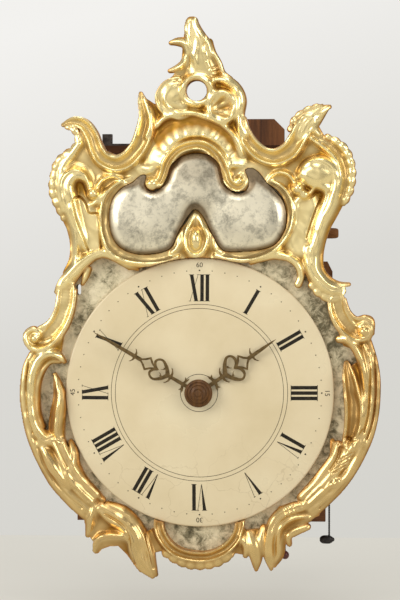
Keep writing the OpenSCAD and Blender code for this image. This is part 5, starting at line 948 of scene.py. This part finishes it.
inlet = area_distance(cushion_line, CX, CY)
total = np.zeros_like(CX)
for x, y, rx, ry, rise in ((-52, 160, 44, 42, 9.5), (47, 160, 44, 40, 9.5), (-3, 196, 40, 38, 6.5),
        (-3, 178, 64, 26, 4.5)):
    total += (rise * np.clip(1 - ((CX - x) / rx) ** 2 - ((CY - y) / ry) ** 2, 0, 1)) ** 2.4
roll = np.clip(-inlet / 9, 0, 1)
roll *= 2 - roll
height = 9.6 + 0.80 * total ** (1 / 2.4) * (0.35 + 0.65 * roll) + 0.4 * roll
# Painted highlight on the crowns of the two side lobes; painted shade, with some tarnish, towards the top under
# the arch; painted shade beside the arch's two ends and round the palmette's tip.
lobe_highlight = spot(-58, 164, 38, 34) + spot(50, 157, 30, 26)
tone = np.clip(0.18 - inlet / 11, 0, 0.80) - 0.32 * (1 - lobe_highlight) - 0.15 * np.clip((CY - 182) / 20, 0, 1)
tone -= 0.22 * (spot(50, 198, 9, 9) + spot(-55, 196, 9, 9)) + 0.25 * spot(-3, 172, 14, 9)
tones = {"relief": (tone, 0.2), "rim": (np.zeros_like(tone), 0.0)}
cushion = carved_block("silver_cushion", cells_of(inlet), *drawn_in(inlet, CX, CY, fine_step), height, tones)
# The silver's deep colour is the brown of its tarnish and of the painted shade.
silver_leaf, tree, shader, place, made = leaf_finish("silver_leaf", (0.96, 0.87, 0.65), (0.27, 0.20, 0.12),
    (0.35, 0.25, 0.15), 0.0, 0.0, 0.0002)
patch = span(tree, noise(tree, place, 85.0, 10.0, 0.80, 0.2), 0.36, 0.54, 0.42, 1.0)
feed(tree, shader, Base_Color=scaled(tree, made["Color"], patch),
    Roughness=maths(tree, "MULTIPLY", made["Roughness"], 1.1))
finished(cushion, silver_leaf, "silver_cartouche")

# The dial
# A domed turned disc with aged cream paint, fine cracks in its lower left, thin black rings,
# black hour numerals, a ring of minute dots and a small number at each quarter.
dial_r, dial_edge, dial_rise, dial_hole, ink_lift = 125.5, 5.0, 7.0, 6.0, 0.07


def dome_h(r):
    """Height of the dial's face over the shield at radius r, in mm."""
    return dial_edge + dial_rise * (1 - (r / dial_r) ** 2)


def on_dial(u, v, turn):
    """A point of paint just over the dial's face: u clockwise and v outward at a turn."""
    x, y = u * cos(turn) + v * sin(turn), v * cos(turn) - u * sin(turn)
    return x * mm, face_y - (dome_h(np.hypot(x, y)) + ink_lift) * mm, dial_z + y * mm


outline = [(dial_hole, 0.0), (dial_r, 0.0), (dial_r, dial_edge - 0.9), (dial_r - 0.25, dial_edge - 0.3),
    (dial_r - 0.9, dial_edge + 0.1)] + [(r, dome_h(r)) for r in np.linspace(dial_r - 2, dial_hole, 40)]
sides, rows = 240, len(outline)
points = [(r * sin(2 * pi * k / sides) * mm, face_y - h * mm, dial_z + r * cos(2 * pi * k / sides) * mm)
    for r, h in outline for k in range(sides)]
faces = [(i * sides + k, i * sides + (k + 1) % sides, (i + 1) % rows * sides + (k + 1) % sides,
    (i + 1) % rows * sides + k) for i in range(rows) for k in range(sides)]
dial = plain_mesh("dial_disc", points, faces, "case", 40)
dial_paint, tree, shader, place = finish_of("dial_paint")
age = noise(tree, place, 14.0, 5.0, 0.55)
cream = ramp(tree, age, [(0.3, (0.60, 0.49, 0.29)), (0.52, (0.66, 0.55, 0.345)), (0.72, (0.70, 0.60, 0.39))])
bend = node(tree, "ShaderNodeTexNoise", Vector=place, Scale=60.0, Detail=3.0).outputs
shifted = mixed(tree, 0.012, place, bend["Color"], "LINEAR_LIGHT")
cells = node(tree, "ShaderNodeTexVoronoi", feature="DISTANCE_TO_EDGE", Vector=shifted, Scale=26.0)
crack = maths(tree, "LESS_THAN", cells.outputs["Distance"], 0.008)
x, y, z = axes(tree, place)
faint = maths(tree, "MULTIPLY", crack, span(tree, z, dial_z - 30 * mm, dial_z - 80 * mm, 0.0, 0.3))
feed(tree, shader, Base_Color=mixed(tree, faint, cream, (0.38, 0.29, 0.16, 1)),
    Roughness=ramp(tree, age, [(0.3, 0.34), (0.7, 0.26)]), Normal=bump(tree, bend["Fac"], 0.12, 0.0003))
finished(dial, dial_paint, "dial_plate")

numeral_black, tree, shader, place = finish_of("numeral_black")
rub = noise(tree, place, 300.0, 5.0)
feed(tree, shader, Base_Color=ramp(tree, rub, [(0.35, (0.008, 0.006, 0.003)), (0.75, (0.030, 0.022, 0.010))]),
    Roughness=0.5, Specular_IOR_Level=0.22)
ink_points, ink_faces = [], []


def ink(u0, w0, u1, w1, v0, v1, turn, steps=6):
    """A painted stroke on the dome, from u0 and w0 wide at v0 to u1 and w1 wide at v1."""
    base = len(ink_points)
    for k in range(steps + 1):
        t = k / steps
        v = v0 + (v1 - v0) * t
        ink_points.append(on_dial(u0 + (u1 - u0) * t, v, turn))
        ink_points.append(on_dial(u0 + w0 + (u1 + w1 - (u0 + w0)) * t, v, turn))
    for a in range(base, base + 2 * steps, 2):
        ink_faces.append((a, a + 1, a + 3, a + 2))


foot, head, bar, hair, serif = 85.5, 110.0, 3.3, 0.42, 0.25
letter_forms = {
    "I": (5, [(0.85, bar, 0.85, bar)], [(0.05, 4.95, foot), (0.05, 4.95, head)]),
    "V": (10, [(5.2, 0.4, 1.0, bar), (5.3, hair, 8.8, hair)], [(0.3, 5.0, head), (7.9, 9.9, head)]),
    "X": (10, [(5.5, bar, 1.0, bar), (1.2, hair, 8.6, hair)],
        [(0.3, 5.0, head), (7.7, 9.7, head), (0.3, 2.3, foot), (4.8, 9.5, foot)]),
}
for hour, letters in enumerate(["XII", "I", "II", "III", "IV", "V", "VI", "VII", "VIII", "IX", "X", "XI"]):
    turn = 2 * pi * hour / 12
    left = -sum(letter_forms[c][0] for c in letters) / 2
    for width, strokes, serifs in (letter_forms[c] for c in letters):
        for u0, w0, u1, w1 in strokes:
            ink(left + u0, w0, left + u1, w1, foot, head, turn)
        for u0, u1, v in serifs:
            ink(left + u0, u1 - u0, left + u0, u1 - u0, v - serif, v + serif, turn, 1)
        left += width
ring_parts = 180
for r, w in ((82.4, 0.42), (78.6, 0.42), (17.4, 0.5)):
    for k in range(ring_parts):
        a, b = 2 * pi * k / ring_parts, 2 * pi * (k + 1) / ring_parts
        base = len(ink_points)
        ink_points += [on_dial(0, radius, angle) for radius, angle in
            ((r - w / 2, a), (r - w / 2, b), (r + w / 2, b), (r + w / 2, a))]
        ink_faces.append((base, base + 3, base + 2, base + 1))
finished(plain_mesh("dial_numerals", ink_points, ink_faces, "case"), numeral_black)


def mesh_of(data, tree=None, **values):
    """The plain mesh of a text, of a curve or of what a geometry nodes tree makes."""
    holder = placed("maker", data)
    if tree:
        maker = holder.modifiers.new("maker", "NODES")
        maker.node_group = tree
        for item in tree.interface.items_tree:
            if item.in_out == "INPUT":
                maker[item.identifier] = values[item.name]
    bpy.context.view_layer.update()
    made = bpy.data.meshes.new_from_object(holder.evaluated_get(bpy.context.evaluated_depsgraph_get()))
    bpy.data.objects.remove(holder)
    return made


# Quarter numbers
# Small numbers in black paint outside the dots at 15, 30, 45 and 60 minutes, their tops outward.
# They are flat and lie on the dome of the dial.
number_r = 117.0
points, faces = [], []
for words, turn in (("60", 0.0), ("15", pi / 2), ("30", pi), ("45", 3 * pi / 2)):
    text = bpy.data.curves.new("quarter", "FONT")
    text.body, text.size, text.align_x = words, 6.4 * mm, "CENTER"
    flat = mesh_of(text)
    base = len(points)
    points += [on_dial(v.co.x / mm, number_r + v.co.y / mm, turn) for v in flat.vertices]
    for f in flat.polygons:
        loop = [base + i for i in f.vertices]
        a, b, c = (Vector(points[i]) for i in loop[:3])
        faces.append(loop if (b - a).cross(c - a).y < 0 else loop[::-1])
finished(plain_mesh("quarter_numbers", points, faces, "case"), numeral_black)

# Minute dots
# Sixty small flat dots of black paint on a circle between the numerals and the quarter numbers.
# Every fifth one is larger.
dot_ring = 114
tree, given, end = new_group("minute_dots", "GeometryNodeTree",
    {"Ring": "Float", "Dot": "Float", "Count": "Int", "Paint": "Material"}, {"Geometry": "Geometry"})
circle = node(tree, "GeometryNodeMeshCircle", Vertices=given["Count"], Radius=given["Ring"])
dot = node(tree, "GeometryNodeMeshCylinder", Vertices=14, Radius=given["Dot"], Depth=0.0003)
fifth = maths(tree, "MODULO", node(tree, "GeometryNodeInputIndex").outputs[0], 5)
size = maths(tree, "MULTIPLY_ADD", maths(tree, "LESS_THAN", fifth, 0.5), 0.45, 1.0)
spread = node(tree, "GeometryNodeInstanceOnPoints", Points=circle.outputs[0],
    Instance=dot.outputs["Mesh"], Scale=size)
real = node(tree, "GeometryNodeRealizeInstances", Geometry=spread.outputs[0])
feed(tree, end, Geometry=node(tree, "GeometryNodeSetMaterial", Geometry=real.outputs[0],
    Material=given["Paint"]).outputs[0])
dots_mesh = mesh_of(bpy.data.meshes.new("maker"), tree, Ring=dot_ring * mm, Dot=0.5 * mm, Count=60,
    Paint=numeral_black)
dots_mesh.name = "minute_dots"
dots_mesh.transform(Matrix.Translation((0, face_y - (dome_h(dot_ring) - 0.05) * mm, dial_z))
    @ Matrix.Rotation(pi / 2, 4, "X") @ Matrix.Rotation(pi / 2, 4, "Z"))
dots = placed("minute_dots", dots_mesh)
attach(dots, "case")

# The hands
# Sawn and filed from brass sheet, pierced with a heart and a lozenge, and darkened with age.
# The hour hand lies under the minute hand, and a turned boss holds both.
hand_t, hand_bevel = 1.4 * mm, 0.22 * mm


def flat_cut(outlines, y0, turn, less):
    """A flat filed piece: the first outline is solid and the others are pierced. It stands forward of y0."""
    curve = bpy.data.curves.new("cut", "CURVE")
    curve.dimensions, curve.fill_mode = "2D", "BOTH"
    curve.extrude = hand_t / 2 - hand_bevel - less
    curve.bevel_depth, curve.offset, curve.bevel_resolution = hand_bevel, -hand_bevel, 1
    for outline in outlines:
        spline = curve.splines.new("POLY")
        spline.points.add(len(outline) - 1)
        for point, (u, v) in zip(spline.points, outline):
            point.co = (u * mm, v * mm, 0, 1)
        spline.use_cyclic_u = True
    made = mesh_of(curve)
    made.transform(Matrix.Translation((0, y0 - hand_t / 2, dial_z)) @ Matrix.Rotation(turn, 4, "Y")
        @ Matrix.Rotation(pi / 2, 4, "X"))
    return made


def both_sides(half):
    """A closed smooth outline from its right half, from bottom to top."""
    left = [(-u, v) for u, v in reversed(half) if abs(u) > 1e-6]
    return [tuple(p) for p in smooth_line(half + left + [half[0]], 1.0)[:-1]]


def hand(name, y0, turn, parts, body):
    """A hand of several filed parts joined in one mesh, each a trace thinner than the last."""
    points, faces = [], []
    for index, outlines in enumerate(parts):
        made = flat_cut(outlines, y0, turn, index * 0.008 * mm)
        base = len(points)
        points += [tuple(v.co) for v in made.vertices]
        faces += [[base + i for i in f.vertices] for f in made.polygons]
    return plain_mesh(name, points, faces, body, 40)


def disc(r, n=48):
    return [(r * cos(2 * pi * k / n), r * sin(2 * pi * k / n)) for k in range(n)]


def heart(v0, v1, w, wall):
    """Outer and inner outline of the pierced heart, its point towards the hub."""
    h = v1 - v0
    outer = [(0, 0), (w * 0.34, h * 0.14), (w * 0.72, h * 0.34), (w, h * 0.62), (w * 0.92, h * 0.86),
        (w * 0.58, h), (w * 0.2, h * 0.93), (0, h * 0.78)]
    inner = [(0, h * 0.26), (w * 0.36, h * 0.38), (w - wall, h * 0.63), (w - wall * 1.1, h * 0.80),
        (w * 0.55, h - wall), (w * 0.25, h * 0.80), (0, h * 0.62)]
    return [both_sides([(u, v0 + v) for u, v in half]) for half in (outer, inner)]


def lozenge(v0, v1, w, wall):
    """Outer and inner outline of the pierced lozenge with slightly hollow sides."""
    m = (v0 + v1) / 2

    def ring(a, b, c):
        low, high, waist = (a + m) / 2 + 0.35, (b + m) / 2 - 0.35, c * 0.44
        return [(0, a), (waist, low), (c, m), (waist, high), (0, b), (-waist, high), (-c, m), (-waist, low)]

    return [ring(v0, v1, w), ring(v0 + wall * 1.5, v1 - wall * 1.5, w - wall * 1.25)]


def thorns(*places):
    """Curled thorns on both sides of the stem, as (u, v, length, rise)."""
    parts = []
    for side in (-1, 1):
        for u, v, long, up in places:
            curl = [(u, v - 1.4), (u + long * 0.5, v - 0.9 + up * 0.1), (u + long, v + up * 0.55),
                (u + long * 1.04, v + up), (u + long * 0.72, v + up * 0.5), (u + long * 0.35, v + up * 0.32),
                (u, v + 1.5)]
            parts.append([[(side * a, b) for a, b in curl[::side]]])
    return parts


hour = hand("hour_hand_filed", -179.5 * mm, radians(55), [[disc(9.5), disc(4.2)],
    [[(-2.0, 8), (2.0, 8), (1.6, 30), (-1.6, 30)]],
    [[(-8.6, 15.6), (-5.8, 15.4), (-2.4, 16.4), (2.4, 16.4), (5.8, 15.4), (8.6, 15.6), (6.2, 17.4), (7.4, 19.8),
        (4.2, 18.6), (1.6, 19.6), (-1.6, 19.6), (-4.2, 18.6), (-7.4, 19.8), (-6.2, 17.4)]],
    heart(27.5, 47, 13.4, 2.6), lozenge(41, 58.5, 8.6, 2.2),
    [[(-1.9, 56), (1.9, 56), (1.6, 72), (0.9, 82), (0.0, 88), (-0.9, 82), (-1.6, 72)]],
    *thorns((1.0, 26.5, 7.0, 3.6), (1.0, 60.5, 6.0, 3.0), (5.5, 35.5, -3.6, 3.4))], "hour")
minute = hand("minute_hand_filed", -183.9 * mm, radians(-60), [[disc(9.0), disc(3.0)],
    [[(-1.8, 8), (1.8, 8), (1.5, 33), (-1.5, 33)]],
    [[(-7.8, 14.0), (-5.2, 14.0), (-2.2, 15.0), (2.2, 15.0), (5.2, 14.0), (7.8, 14.0), (5.6, 15.8), (6.8, 18.2),
        (3.8, 17.0), (1.4, 18.0), (-1.4, 18.0), (-3.8, 17.0), (-6.8, 18.2), (-5.6, 15.8)]],
    heart(30.5, 50.5, 10.7, 2.3), lozenge(45, 64.5, 7.2, 2.0),
    [[(-1.9, 62), (1.9, 62), (1.6, 86), (1.0, 104), (0.0, 114), (-1.0, 104), (-1.6, 86)]],
    *thorns((1.0, 30.0, 6.6, 3.6), (1.0, 68.5, 5.4, 3.0), (4.6, 38.5, -3.0, 3.2))], "minute")


def metal_finish(name, dark, light, smooth, rough, scale=180.0, metallic=1.0):
    """Aged metal with patches of patina and fine file marks."""
    material, tree, shader, place = finish_of(name)
    stain = noise(tree, place, scale, 6.0, 0.6)
    feed(tree, shader, Base_Color=ramp(tree, stain, [(0.32, dark), (0.68, light)]), Metallic=metallic,
        Roughness=ramp(tree, stain, [(0.3, rough), (0.7, smooth)]), Normal=bump(tree, stain, 0.2, 0.0002))
    return material


dark_brass = metal_finish("dark_brass", (0.075, 0.045, 0.014), (0.20, 0.13, 0.05), 0.38, 0.6, 260.0, 0.75)
finished(hour, dark_brass, "hour_hand")
finished(minute, dark_brass, "minute_hand")
boss = spun("hub_boss_turned", [(0, 0), (12.4, 0), (13, 0.5), (13, 2.2), (12.5, 3.1), (11.6, 3.9), (10.9, 4.3),
    (10.4, 3.6), (9.6, 3.8), (8.8, 4.9), (8.0, 5.3), (7.4, 4.6), (6.6, 4.8), (5.6, 5.6), (4.6, 5.9), (3.9, 5.2),
    (3.2, 5.2), (2.4, 5.8), (0, 6)], (0, -185.3 * mm, dial_z), (0, -1, 0), "minute", 72, 30)
boss_wood, tree, shader, *_ = wood_finish("boss_polished_wood", (0.030, 0.011, 0.002),
    (0.165, 0.066, 0.010), 500.0)
feed(tree, shader, Coat_Weight=0.08, Coat_Roughness=0.2)
finished(boss, boss_wood, "hub_boss")

# The case
# A plain softwood box on a back board, stained dark outside. The side doors turn on wire pins, and
# the right one is opened by a turned knob. An iron slide on the top board stops the music.
stained, bare = ((0.052, 0.017, 0.004), (0.175, 0.062, 0.015)), ((0.20, 0.115, 0.055), (0.46, 0.30, 0.165))
across = pi / 2
dress(wood_finish("dark_stained_wood", *stained)[0], "back_board", "corner_posts", "left_door", "right_door")
dress(wood_finish("dark_stained_wood_across", *stained, turn=across)[0], "top_board", "bottom_board",
    "shield_battens")
knob = spun("door_knob_turned", [(0, 0), (2, 0), (2, 5.4), (3.9, 5.4), (4, 6.4), (3.4, 8), (3.4, 10), (4.2, 13),
    (4.8, 17), (5, 21), (5, 26), (4.8, 29), (4.2, 30.6), (3, 31.4), (0, 31.4)],
    (97.3 * mm, -122 * mm, dial_z + 149 * mm), (1, 0, 0), "right_side_door")
knob_wood, *_ = wood_finish("knob_brown_wood", (0.10, 0.032, 0.006), (0.28, 0.105, 0.022), 420.0, across)
finished(knob, knob_wood, "door_knob")
old_iron = metal_finish("old_iron", (0.030, 0.024, 0.021), (0.11, 0.092, 0.08), 0.42, 0.68, 220.0, 0.85)
dress(old_iron, "silence_slide", "slide_staples", "repeat_lever", "release_lever")

# The works
# Beech plates and cheeks carry the going train, the striking train and the bell music, with brass
# wheels and bells on iron arbors, and a pinned beech barrel.
dress(wood_finish("bare_old_wood", *bare)[0], "front_plate", "middle_plate", "rear_plate", "music_cheeks")
dress(wood_finish("bare_old_wood_across", *bare, turn=across)[0], "music_deck", "pin_barrel")
aged_brass = metal_finish("aged_brass", (0.36, 0.22, 0.07), (0.72, 0.50, 0.20), 0.26, 0.46, 120.0)
dress(aged_brass, "minute_tube", "hour_wheel", "motion_wheel", "great_wheel", "centre_wheel", "third_wheel",
    "escape_wheel", "pendulum", "strike_great_wheel", "pin_wheel", "warning_wheel", "strike_fly",
    "music_great_wheel", "music_second_wheel", "music_fly")
bell_metal = metal_finish("bell_metal", (0.42, 0.29, 0.12), (0.70, 0.55, 0.29), 0.20, 0.34, 70.0)
dress(bell_metal, "hour_bell", "music_bells")
dress(old_iron, "anchor", "hour_hammer", "bell_rod", "hammer_rod", "music_hammer_1", "music_hammer_2",
    "music_hammer_3", "music_hammer_4")
